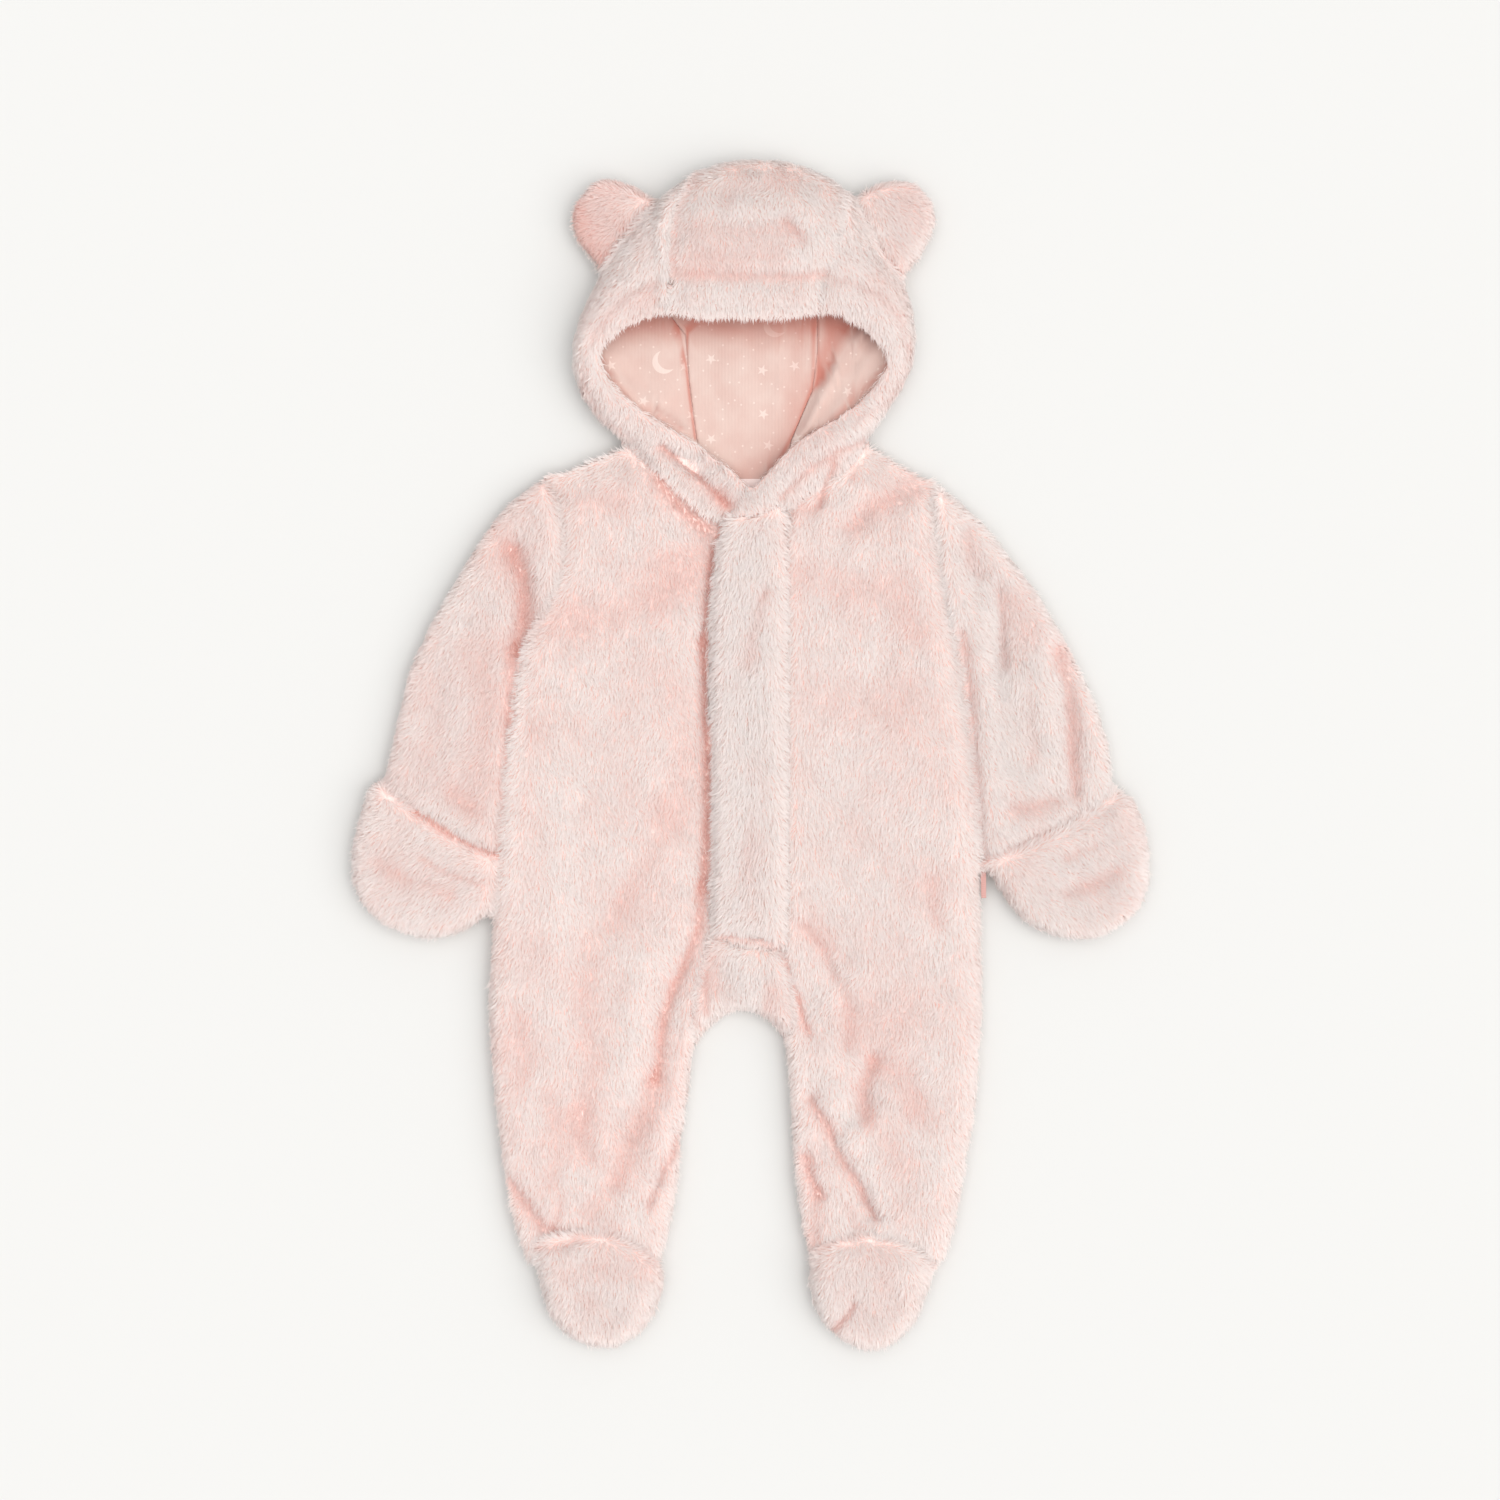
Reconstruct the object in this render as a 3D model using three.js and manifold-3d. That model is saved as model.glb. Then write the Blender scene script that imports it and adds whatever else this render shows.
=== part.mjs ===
import * as THREE from 'three';
import { mergeVertices } from 'three/addons/utils/BufferGeometryUtils.js';
import Module from 'manifold-3d';

// A plush hooded all-in-one for a baby, laid flat on its back, in millimetres.
// The head is towards +Y and the front towards +Z. Right and left are the wearer's,
// so the right arm and leg lie on the -X side.

const wasm = await Module();
wasm.setup();

// Driving sizes
const seamGap = 0.3;
const backTop = 9;
const frontBase = backTop + seamGap;
const frontTop = 20.5;
const edgeWall = 1.2;
const outlineRoll = 15;
const undersideRoll = 9;
const placketBase = 16;
const placketTop = 26;
const sleeveTop = 20;
const cuffHollow = 1.2;
const mittTop = 23;
const footTop = 26;
const earTop = 23;
const earMiddle = 11;
const hoodWall = 9;
const hoodEdge = 13;
const liningWall = 1.5;
const hemBand = 20;
const hemGroove = 3.5;
const labelWall = 0.6;
const tagWall = 1.6;
const liningSplit = 0.4;
const tall = 90;

const plush = { color: 0xf0dcd5, roughness: 0.95, metalness: 0 };
const jersey = { color: 0xefbfb6, roughness: 0.85, metalness: 0 };
const satin = { color: 0xf4eeea, roughness: 0.5, metalness: 0 };

// A section runs across a piece from (x0, y0) to (x1, y1), and bow pushes its middle sideways.
const section = (x0, y0, x1, y1, bow = 0) => ({ x0, y0, x1, y1, bow });

// Outer edge (armhole, side, leg) to inner edge (neck, placket, crotch, inside leg), from the shoulder down
const frontRightSections = [
  section(-134, 179, -76, 203),
  section(-124.5, 153, -48, 180),
  section(-123.2, 126.4, -12, 158),
  section(-128.4, 103, 21.8, 133),
  section(-144, 73.8, 21.8, 86.8),
  section(-153.1, 34.8, 21.8, 34.8),
  section(-159.6, -10.7, 21.8, -10.7),
  section(-164.1, -56.2, 21.8, -49.7),
  section(-167.4, -101.7, 21.8, -90),
  section(-170, -137.5, -20, -117),
  section(-170.6, -160.2, -29, -146),
  section(-170, -183, -35, -173),
  section(-168.7, -204, -38.5, -199.2),
  section(-166.7, -228, -43, -226),
  section(-163.5, -253, -45, -253),
  section(-159.6, -280.5, -47.5, -280),
  section(-154.4, -306, -52, -306),
  section(-146, -331, -58, -330),
];

const frontLeftSections = [
  section(119.3, 175.2, 74.4, 203),
  section(121.2, 150.5, 46, 180),
  section(123.8, 125.8, 22.4, 160),
  section(127.7, 99.8, 22.4, 125.8),
  section(133.6, 70.5, 22.4, 86.8),
  section(139.4, 31.5, 22.4, 41.3),
  section(144, -7.5, 22.4, -4.2),
  section(147.9, -53, 22.4, -49.7),
  section(149.8, -98.5, 22.4, -95.2),
  section(150, -134.2, 20, -124.5),
  section(150.5, -160.2, 22, -152),
  section(149.8, -183, 22, -178),
  section(148.5, -204, 23.5, -200),
  section(146.6, -228, 25.5, -226),
  section(142.7, -253, 27, -252),
  section(137.5, -280.5, 29, -279),
  section(133.6, -306, 32.5, -304),
  section(125.8, -331, 37, -326),
];

// Right edge to left edge of the whole back, neck to ankles
const backSections = [
  section(-87, 200, 81, 200, 24),
  section(-134, 179, 119.3, 175.2, 12),
  section(-124.5, 153, 121.2, 150.5, 4),
  section(-123.2, 126.4, 123.8, 125.8),
  section(-128.4, 103, 127.7, 99.8),
  section(-144, 73.8, 133.6, 70.5),
  section(-153.1, 34.8, 139.4, 31.5),
  section(-159.6, -10.7, 144, -7.5),
  section(-164.1, -56.2, 147.9, -53),
  section(-167.4, -101.7, 149.8, -98.5),
  section(-170, -137.5, 150, -134.2),
  section(-170.6, -160.2, 150.5, -160.2),
  section(-170, -183, 149.8, -183),
  section(-168.7, -204, 148.5, -204),
  section(-166.7, -228, 146.6, -228),
  section(-163.5, -253, 142.7, -253),
  section(-159.6, -280.5, 137.5, -280.5),
  section(-154.4, -306, 133.6, -306),
  section(-146, -331, 125.8, -331),
];

// The space between the legs, crotch down
const betweenLegs = [
  section(-8, -166, 2, -166),
  section(-20, -173, 13, -173),
  section(-38, -193, 23, -193),
  section(-39, -212, 25, -212),
  section(-45, -253, 27, -253),
  section(-52, -306, 32.5, -306),
  section(-66, -350, 46, -350),
];

const placketSections = [
  section(-16, 158, 22.1, 162),
  section(-23.7, 122.5, 22.1, 122.5),
  section(-26.3, 73.8, 22.1, 73.8),
  section(-25.7, 8.8, 22.1, 8.8),
  section(-24.4, -49.7, 22.1, -49.7),
  section(-25, -88.7, 22.1, -88.7),
  section(-26, -126, 21, -128),
];

const gussetSections = [
  section(-25, -119.9, 21.1, -125.1),
  section(-29, -132.9, 23.1, -137.5),
  section(-33.5, -148.5, 24.5, -152.4, -3),
  section(-37, -166, 27, -171, -10),
  section(-40, -187, 26, -190, -22),
];

// Armhole to cuff, upper edge to lower edge
const sleeveRightSections = [
  section(-128, 184, -138, 66, -14),
  section(-157, 164.8, -140, 56, -5),
  section(-177.8, 137.5, -142, 43),
  section(-200.5, 99.8, -147, 22),
  section(-220.7, 60.8, -152, -2),
  section(-229.8, 25, -157, -28),
  section(-236.3, -4, -160, -50),
  section(-240, -17.5, -160, -68, 3),
];

const sleeveLeftSections = [
  section(114, 180, 128, 63, 14),
  section(143.3, 159.6, 130, 55, 5),
  section(164.8, 133.6, 132, 40),
  section(190.8, 99.8, 135, 18),
  section(211.6, 60.8, 139, -8),
  section(226.5, 28.3, 142, -34),
  section(235, -1, 146, -56),
  section(235, -24, 149, -70, -3),
];

// Cuff edge to finger tips
const mittRightSections = [
  section(-243, -16, -158, -69, 4),
  section(-250, -25, -158, -75, 4),
  section(-255.8, -44.5, -160, -84, 4),
  section(-260.2, -69.2, -166, -97, 4),
  section(-257.1, -90, -174, -107.5, 4),
  section(-247, -104, -184, -114, 3),
  section(-233, -113.5, -196, -118, 2),
  section(-222, -117.5, -206, -120, 1),
];

const mittLeftSections = [
  section(238, -22, 149, -69, -4),
  section(250, -31, 153, -76, -4),
  section(256.5, -48, 160.5, -87, -4),
  section(260.2, -72.5, 170, -102, -4),
  section(257.1, -92, 181, -112, -4),
  section(246, -107, 195, -118, -3),
  section(232, -116, 206, -120, -2),
  section(223, -119, 213, -120.5, -1),
];

// Ankle seam to toe
const footRightSections = [
  section(-140.7, -318, -58.8, -332, -15),
  section(-139.5, -334, -55, -340, -8),
  section(-136.8, -349, -57, -349, -3),
  section(-132.3, -363, -61.4, -361),
  section(-123.8, -374, -68.6, -373),
  section(-113, -381.5, -78, -381),
  section(-101, -386.2, -88, -386.2),
];

const footLeftSections = [
  section(43, -322, 119, -332, -15),
  section(37.5, -336, 118.5, -342, -8),
  section(38.5, -351, 114.1, -353, -3),
  section(43.5, -366, 109.5, -365.6),
  section(53.6, -377, 101.7, -376),
  section(64, -384, 92, -383.5),
  section(73.5, -387.8, 84, -387.8),
];

// Base to tip
const earRightSections = [
  section(-76, 292, -44, 346),
  section(-96, 314, -59, 358, 2),
  section(-105, 322, -67, 364, 2),
  section(-112.5, 332, -77, 369.5, 2),
  section(-116.5, 343, -87, 373.5, 2),
  section(-116, 354, -96.5, 373.5, 1),
  section(-113, 361, -104, 370, 1),
];

const earLeftSections = [
  section(52, 340, 84, 291),
  section(65, 359, 102, 313, 2),
  section(73, 366, 109, 322, 2),
  section(82, 371, 115, 332, 2),
  section(93, 373.5, 119.3, 343, 2),
  section(103.5, 372, 119, 354, 1),
  section(110.5, 368, 116, 361.5, 1),
];

// Hood, round the face opening from the crossing at the neck by way of the wearer's right side
// and the crown. (mx, my) is the opening's edge, (ox, oy) the outline, crest and lip are heights.
const hoodPoint = (mx, my, ox, oy, crest, lip) => ({ mx, my, ox, oy, crest, lip });
const hoodSections = [
  hoodPoint(-2.3, 173.9, -15.9, 149.2, 27, 25),
  hoodPoint(-19.2, 189.5, -38, 158, 26.5, 24.5),
  hoodPoint(-40, 203.8, -57, 179, 26.5, 24.5),
  hoodPoint(-62.7, 216.8, -72.5, 197, 27, 25),
  hoodPoint(-80.3, 228.5, -91, 208, 28, 26),
  hoodPoint(-93.3, 242.8, -108.2, 227, 29, 27),
  hoodPoint(-98.5, 255.8, -117, 250.6, 31, 29),
  hoodPoint(-94.6, 266.8, -115.4, 273, 33, 31),
  hoodPoint(-80.3, 277.9, -107, 294, 36, 33),
  hoodPoint(-66, 283.1, -97.2, 315, 39, 35),
  hoodPoint(-54.3, 285, -80, 340.3, 42, 37),
  hoodPoint(-40, 282.4, -59.5, 362, 44, 38),
  hoodPoint(-23.7, 281.8, -33.5, 381, 46, 39),
  hoodPoint(-4.2, 281.1, -4.2, 387.8, 46, 39),
  hoodPoint(15.3, 281.8, 25, 385.8, 46, 39),
  hoodPoint(31.5, 282.4, 51, 376, 44, 38),
  hoodPoint(44.5, 285.7, 70, 358, 42, 37),
  hoodPoint(56.2, 283.7, 82, 331, 40, 35),
  hoodPoint(69.2, 277.2, 99.8, 309.1, 37, 33),
  hoodPoint(81.6, 266.8, 106.5, 283, 34, 31),
  hoodPoint(88.7, 255.8, 108, 261, 31, 29),
  hoodPoint(83.5, 242.8, 100.5, 239, 29, 27),
  hoodPoint(64, 223.3, 84, 214, 28, 26),
  hoodPoint(47.8, 213.5, 71.8, 198, 28, 26),
  hoodPoint(29.6, 202.5, 55, 180, 28, 26),
  hoodPoint(12, 184.3, 30, 163.5, 28, 26),
  hoodPoint(0.3, 170, 6.8, 152, 28, 26),
];
const hoodCentre = { x: -3, y: 245 };

// Seams between the hood's centre strip and its sides, from above the crown to below the neck
const hoodSeamRight = [[-29, 400], [-33, 382], [-46, 358], [-54, 335], [-54.5, 310], [-53, 286],
  [-42.6, 272], [-40, 239.5], [-34.8, 200.5], [-30.9, 140]];
const hoodSeamLeft = [[66, 400], [63, 372], [58, 340], [52, 315], [45, 296], [43.2, 284],
  [43.2, 262], [40, 236], [26.3, 203.8], [15.3, 140]];
const neckLine = [[-120, 202], [-86.8, 199.5], [-46.5, 181.5], [-2.3, 176], [39.3, 181.5],
  [80.9, 199.5], [120, 202]];
const crossing = [[-2.5, 236], [-2.5, 172], [-22, 140]];

// Creases and folds: from (x0, y0) to (x1, y1); depth below the pile around it, ridges are negative
const fold = (x0, y0, x1, y1, depth, width) => ({ x0, y0, x1, y1, depth, width });
const bodyFolds = [
  fold(-29, 139, -31, -112, 2.5, 7),
  fold(-34, -122, -55, -170, 5, 8),
  fold(-55, -170, -63, -215, 6, 8),
  fold(-63, -215, -78, -242, 5, 8),
  fold(-46, -240, -64, -278, 4, 7),
  fold(-155, -281, -139, -304, 3, 7),
  fold(28, -124, 45, -188, 5, 8),
  fold(44.5, -111.5, 67, -167, 4, 8),
  fold(67, -167, 76, -222, 4, 8),
  fold(42, -223, 82, -290, 5, 8),
  fold(40, -263, 53, -283, 3, 7),
  fold(-34, 108, -72, 82, 2, 9),
  fold(52, 186, 46, 160, 4, 6),
  fold(70, 188, 67, 176, 3, 6),
  fold(101, 168, 64, 148, 2.5, 9),
  fold(-85, 150, -60, 60, 1.5, 14),
  fold(90, 90, 70, -20, 1.5, 15),
  fold(-110, -60, -90, -150, 1.5, 15),
  fold(-19, -134, -19, -168, 2.5, 6),
];
const sleeveFolds = [
  fold(-149, 132, -134, 70, 3, 8),
  fold(-150, 118, -147, 76, 2.5, 8),
  fold(141, 141, 147, 120, 3, 7),
  fold(161, 104, 163, 66, 4, 8),
  fold(163, 66, 172, 48, 4, 8),
  fold(206, 48, 213, -16, 4, 9),
  fold(-205, 60, -195, 0, 2, 11),
];
const endFolds = [
  fold(-226, -65, -176, -84, 3, 7),
  fold(226, -70, 180, -86, 2.5, 8),
  fold(62, -359, 58, -368, 3, 6),
  fold(-100, -350, -92, -366, 2, 7),
];
const hoodFolds = [
  fold(-62, 201, -37, 189, 5, 6),
  fold(-37, 189, -13, 174, 5, 6),
  fold(-54, 286, -54, 318, 3.5, 6),
  fold(-54, 318, -46, 352, 3, 6),
  fold(44, 288, 53, 320, 3, 6),
  fold(53, 320, 60, 350, 2.5, 6),
];

const mix = (from, to, share) => from + (to - from) * share;

function smooth(value, low, high) {
  const share = Math.min(1, Math.max(0, (value - low) / (high - low)));
  return share * share * (3 - 2 * share);
}

// How full a rolled edge is at a distance from it: 0 at the edge, 1 past the radius
function rolled(distance, radius) {
  return distance >= radius ? 1 : Math.sqrt(1 - (1 - distance / radius) ** 2);
}

function relief(folds, x, y) {
  let sum = 0;
  for (const { x0, y0, x1, y1, depth, width } of folds) {
    const length2 = (x1 - x0) ** 2 + (y1 - y0) ** 2;
    const along = ((x - x0) * (x1 - x0) + (y - y0) * (y1 - y0)) / length2;
    const share = Math.min(1, Math.max(0, along));
    const away = Math.hypot(x - mix(x0, x1, share), y - mix(y0, y1, share));
    sum -= depth * Math.exp(-((away / width) ** 2));
  }
  return sum;
}

// A smooth curve through the values of a table, each column by itself
function sample(table, count, closed = false) {
  const keys = Object.keys(table[0]);
  const last = table.length - 1;
  const pick = (index) => (closed
    ? table[(index + table.length) % table.length]
    : table[Math.min(last, Math.max(0, index))]);
  return Array.from({ length: count }, (unused, step) => {
    const place = closed ? (step / count) * table.length : (step / (count - 1)) * last;
    const index = Math.min(closed ? table.length - 1 : last - 1, Math.floor(place));
    const t = place - index;
    const row = {};
    for (const key of keys) {
      const [a, b, c, d] = [-1, 0, 1, 2].map((offset) => pick(index + offset)[key]);
      row[key] = 0.5 * (2 * b + (c - a) * t + (2 * a - 5 * b + 4 * c - d) * t * t
        + (3 * b - a - 3 * c + d) * t * t * t);
    }
    return row;
  });
}

// Places across a section: close together in the rolled edges, even between them
function shares(width, edges, middle) {
  const reach = edges[edges.length - 1];
  const squeeze = Math.min(1, width / (2.4 * reach));
  const near = edges.map((distance) => (distance * squeeze) / width);
  const first = near[near.length - 1];
  const between = Array.from({ length: middle }, (unused, step) => (
    mix(first, 1 - first, (step + 1) / (middle + 1))));
  return [...near, ...between, ...near.map((share) => 1 - share).reverse()];
}

// Points of a piece, each with its distance from the four edges
function layOut(sections, { rows, edges, middle }) {
  const grid = sample(sections, rows).map(({ x0, y0, x1, y1, bow }) => {
    const width = Math.hypot(x1 - x0, y1 - y0);
    const normal = [(y1 - y0) / width, (x0 - x1) / width];
    return shares(width, edges, middle).map((share) => {
      const push = bow * 4 * share * (1 - share);
      return {
        x: mix(x0, x1, share) + normal[0] * push,
        y: mix(y0, y1, share) + normal[1] * push,
        outer: share * width,
        inner: (1 - share) * width,
      };
    });
  });
  const step = (row, other, column) => Math.hypot(
    grid[row][column].x - grid[other][column].x,
    grid[row][column].y - grid[other][column].y,
  );
  grid[0].forEach((unused, column) => {
    grid[0][column].start = 0;
    for (let row = 1; row < rows; row += 1) {
      grid[row][column].start = grid[row - 1][column].start + step(row, row - 1, column);
    }
    grid.forEach((line) => {
      line[column].end = grid[rows - 1][column].start - line[column].start;
    });
  });
  return grid;
}

function turnOutward(positions, triangles) {
  let volume = 0;
  const corner = (index) => new THREE.Vector3().fromArray(positions, index * 3);
  for (const [a, b, c] of triangles) {
    volume += corner(a).dot(corner(b).cross(corner(c)));
  }
  return volume > 0 ? triangles : triangles.map(([a, b, c]) => [a, c, b]);
}

function solidFrom(positions, triangles) {
  const faces = turnOutward(positions, triangles);
  return new wasm.Manifold(new wasm.Mesh({
    numProp: 3,
    vertProperties: new Float32Array(positions),
    triVerts: new Uint32Array(faces.flat()),
  }));
}

// Closes the space between an upper and a lower surface on one grid of points
function sheet(grid, upper, lower) {
  const [rows, columns] = [grid.length, grid[0].length];
  const layer = rows * columns;
  const positions = [];
  for (const surface of [upper, lower]) {
    grid.flat().forEach((point) => positions.push(point.x, point.y, surface(point)));
  }
  const triangles = [];
  const quad = (a, b, c, d) => triangles.push([a, b, c], [a, c, d]);
  for (let row = 0; row < rows - 1; row += 1) {
    for (let column = 0; column < columns - 1; column += 1) {
      const a = row * columns + column;
      quad(a, a + columns, a + columns + 1, a + 1);
      quad(layer + a, layer + a + 1, layer + a + columns + 1, layer + a + columns);
    }
  }
  const rim = [
    ...Array.from({ length: rows }, (unused, row) => row * columns),
    ...Array.from({ length: columns - 1 }, (unused, column) => (rows - 1) * columns + column + 1),
    ...Array.from({ length: rows - 1 }, (unused, row) => (rows - 1 - row) * columns - 1),
    ...Array.from({ length: columns - 2 }, (unused, column) => columns - 2 - column),
  ];
  rim.forEach((point, index) => {
    const next = rim[(index + 1) % rim.length];
    quad(point, layer + point, layer + next, next);
  });
  return solidFrom(positions, triangles);
}

const square = { radius: 1, keep: 1 };
const outline = { radius: outlineRoll, keep: 0 };
const sewn = { radius: 6, keep: 0.7 };

// Share of the full thickness at a point, from the roll of each edge
function fullness(point, rolls) {
  const side = (name) => {
    const roll = rolls[name] ?? square;
    const { radius, keep } = typeof roll === 'function' ? roll(point) : roll;
    return mix(keep, 1, rolled(point[name], radius));
  };
  return Math.min(side('outer'), side('inner'), side('start'), side('end'));
}

function upperSurface(base, height, rolls) {
  return (point) => mix(base + edgeWall, height(point), fullness(point, rolls));
}

function lowerSurface(top, rolls) {
  const tight = Object.fromEntries(Object.entries(rolls).map(([name, roll]) => [
    name,
    (point) => {
      const { radius, keep } = typeof roll === 'function' ? roll(point) : roll;
      return { radius: Math.min(radius, undersideRoll), keep };
    },
  ]));
  return (point) => (top - edgeWall) * (1 - fullness(point, tight));
}

function upperPiece(sections, layout, base, height, rolls) {
  return sheet(layOut(sections, layout), upperSurface(base, height, rolls), () => base);
}

function lowerPiece(sections, layout, top, rolls) {
  return sheet(layOut(sections, layout), () => top, lowerSurface(top, rolls));
}

function wholePiece(sections, layout, middle, height, rolls) {
  return sheet(
    layOut(sections, layout),
    upperSurface(middle, height, rolls),
    lowerSurface(middle, rolls),
  );
}

// A section table made wider and longer all round, or smaller where the amounts are negative
function grown(sections, across, along) {
  const wide = sections.map(({ x0, y0, x1, y1, bow }) => {
    const width = Math.hypot(x1 - x0, y1 - y0);
    const [ux, uy] = [((x1 - x0) / width) * across, ((y1 - y0) / width) * across];
    return section(x0 - ux, y0 - uy, x1 + ux, y1 + uy, bow);
  });
  const push = (end, before) => {
    for (const [x, y] of [['x0', 'y0'], ['x1', 'y1']]) {
      const length = Math.hypot(end[x] - before[x], end[y] - before[y]);
      end[x] += ((end[x] - before[x]) / length) * along;
      end[y] += ((end[y] - before[y]) / length) * along;
    }
  };
  push(wide[0], wide[1]);
  push(wide[wide.length - 1], wide[wide.length - 2]);
  return wide;
}

// The room that a piece takes up in plan, as a tall block with the seam's clearance round it
function room(sections, layout, low = -tall, high = tall) {
  return sheet(layOut(grown(sections, seamGap, seamGap), layout), () => high, () => low);
}

function blockFrom(points, low, high) {
  const shape = new THREE.Shape(points.map(([x, y]) => new THREE.Vector2(x, y)));
  const geometry = new THREE.ExtrudeGeometry(shape, { depth: high - low, bevelEnabled: false });
  geometry.deleteAttribute('normal');
  geometry.deleteAttribute('uv');
  const merged = mergeVertices(geometry);
  const positions = [...merged.attributes.position.array];
  for (let index = 2; index < positions.length; index += 3) {
    positions[index] += low;
  }
  const triangles = [];
  for (let index = 0; index < merged.index.count; index += 3) {
    triangles.push([0, 1, 2].map((corner) => merged.index.getX(index + corner)));
  }
  return solidFrom(positions, triangles);
}

// A table's value at a height, straight between its rows
function edgeAt(sections, key, y) {
  const index = sections.findIndex((row) => row.y0 <= y);
  if (index < 1) {
    return sections[index === 0 ? 0 : sections.length - 1][key];
  }
  const [above, below] = [sections[index - 1], sections[index]];
  return mix(above[key], below[key], (above.y0 - y) / (above.y0 - below.y0));
}

// The hood's form: rings from the face opening out to the outline, closed over and under
const hoodCount = 36;
const outerForm = {
  band: [0, 0.35, 0.7, 1],
  outer: [0.12, 0.35, 0.62, 0.83, 0.95, 1],
  floor: [0.6, 0.88, 0.97],
};
const innerForm = {
  band: [0, 0.5, 1],
  outer: [0.4, 0.8, 0.95, 1],
  floor: [0.7, 0.95],
};

function hoodProfile(row, distance, width) {
  const crestAt = 0.36;
  const share = distance / width;
  if (share < crestAt) {
    return row.crest - (row.crest - row.lip) * ((crestAt - share) / crestAt) ** 2;
  }
  const past = (share - crestAt) / (1 - crestAt);
  return mix(hoodEdge, row.crest, Math.sqrt(Math.max(0, 1 - past * past)));
}

function hoodForm(wall, floor, seams) {
  const rings = seams ? outerForm : innerForm;
  const rows = sample(hoodSections, hoodCount, true).map((row) => {
    const full = Math.hypot(row.ox - row.mx, row.oy - row.my);
    const keep = (full - wall) / full;
    return {
      ...row,
      ox: mix(row.mx, row.ox, keep),
      oy: mix(row.my, row.oy, keep),
      crest: row.crest - wall,
      lip: row.lip - wall,
      width: full - wall,
    };
  });
  const positions = [hoodCentre.x, hoodCentre.y, rows[0].lip, hoodCentre.x, hoodCentre.y, floor];
  const addRing = (place) => {
    const start = positions.length / 3;
    rows.forEach((row) => positions.push(...place(row)));
    return start;
  };
  const at = (row, share, z) => [mix(row.mx, row.ox, share), mix(row.my, row.oy, share), z];
  const upperRing = (share, inBand) => addRing((row) => {
    const band = Math.min(hemBand, 0.8 * row.width);
    const distance = inBand ? band * share : mix(band, row.width, share);
    const [x, y] = at(row, distance / row.width, 0);
    const groove = inBand && share === 1 ? hemGroove * smooth(row.width, 30, 55) : 0;
    const crease = relief(hoodFolds, x, y) * (inBand ? 1 : 1 - share);
    const z = hoodProfile(row, distance, row.width) + (seams ? crease - groove : 0);
    return [x, y, Math.max(floor, z)];
  });
  const upper = [
    ...rings.band.map((share) => upperRing(share, true)),
    ...rings.outer.map((share) => upperRing(share, false)),
  ];
  const lower = rings.floor.map((share) => addRing((row) => (
    at(row, share, mix(floor, hoodEdge, share > 0.9 ? 0.45 : 0)))));
  const loop = [...upper, ...lower.reverse()];
  const triangles = [];
  for (let step = 0; step < hoodCount; step += 1) {
    const next = (step + 1) % hoodCount;
    triangles.push([0, loop[0] + step, loop[0] + next]);
    triangles.push([1, loop[loop.length - 1] + next, loop[loop.length - 1] + step]);
    for (let ring = 0; ring < loop.length - 1; ring += 1) {
      const [a, b] = [loop[ring], loop[ring + 1]];
      triangles.push([a + step, b + step, b + next], [a + step, b + next, a + next]);
    }
  }
  return solidFrom(positions, triangles);
}

function mouthBlock(low) {
  const edge = sample(hoodSections, hoodCount, true).map(({ mx, my }) => [mx, my]);
  return blockFrom(edge, low, tall);
}

const shifted = (line, by) => line.map(([x, y]) => [x + by, y]);
const sideEdge = 200;

// The blocks that part a shell into the hood's right side, centre strip and left side
function hoodPanels(shell, split) {
  const half = seamGap / 2;
  const panel = (leftLine, rightLine) => blockFrom([...leftLine, ...[...rightLine].reverse()], -5, tall);
  const crossRight = shifted(crossing, -half);
  const crossLeft = shifted(crossing, half);
  const farRight = [[-sideEdge, 400], [-sideEdge, 140]];
  const farLeft = [[sideEdge, 400], [sideEdge, 140]];
  const front = (leftLine, rightLine) => (
    blockFrom([...leftLine, ...[...rightLine].reverse()], split, tall));
  const frontRight = front([[-60, 236], [-60, 140]], crossRight);
  const frontLeft = front(crossLeft, [[60, 236], [60, 140]]);
  const frontMiddle = blockFrom([[-60, 236], [60, 236], [60, 140], [-60, 140]], split - half, tall);
  return {
    right: shell.intersect(panel(farRight, shifted(hoodSeamRight, -half)).add(frontRight)),
    centre: shell.intersect(
      panel(shifted(hoodSeamRight, half), shifted(hoodSeamLeft, -half)).subtract(frontMiddle)),
    left: shell.intersect(panel(shifted(hoodSeamLeft, half), farLeft).add(frontLeft)),
  };
}

// Hood and lining
const hoodRoom = hoodForm(-seamGap, -seamGap, true);
const underNeck = blockFrom([[-140, 120], ...neckLine, [140, 120]], -5, backTop + seamGap / 2);
const hoodShell = hoodForm(0, 0, true)
  .subtract(hoodForm(hoodWall, backTop, false))
  .subtract(mouthBlock(backTop + 3))
  .subtract(underNeck);
const liningShell = hoodForm(hoodWall + seamGap, backTop + seamGap, false)
  .subtract(hoodForm(hoodWall + seamGap + liningWall, backTop + seamGap + liningWall, false))
  .subtract(mouthBlock(backTop + 3));
const hood = hoodPanels(hoodShell, backTop + seamGap / 2);
const lining = hoodPanels(liningShell, backTop + seamGap + liningWall + liningSplit);

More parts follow.
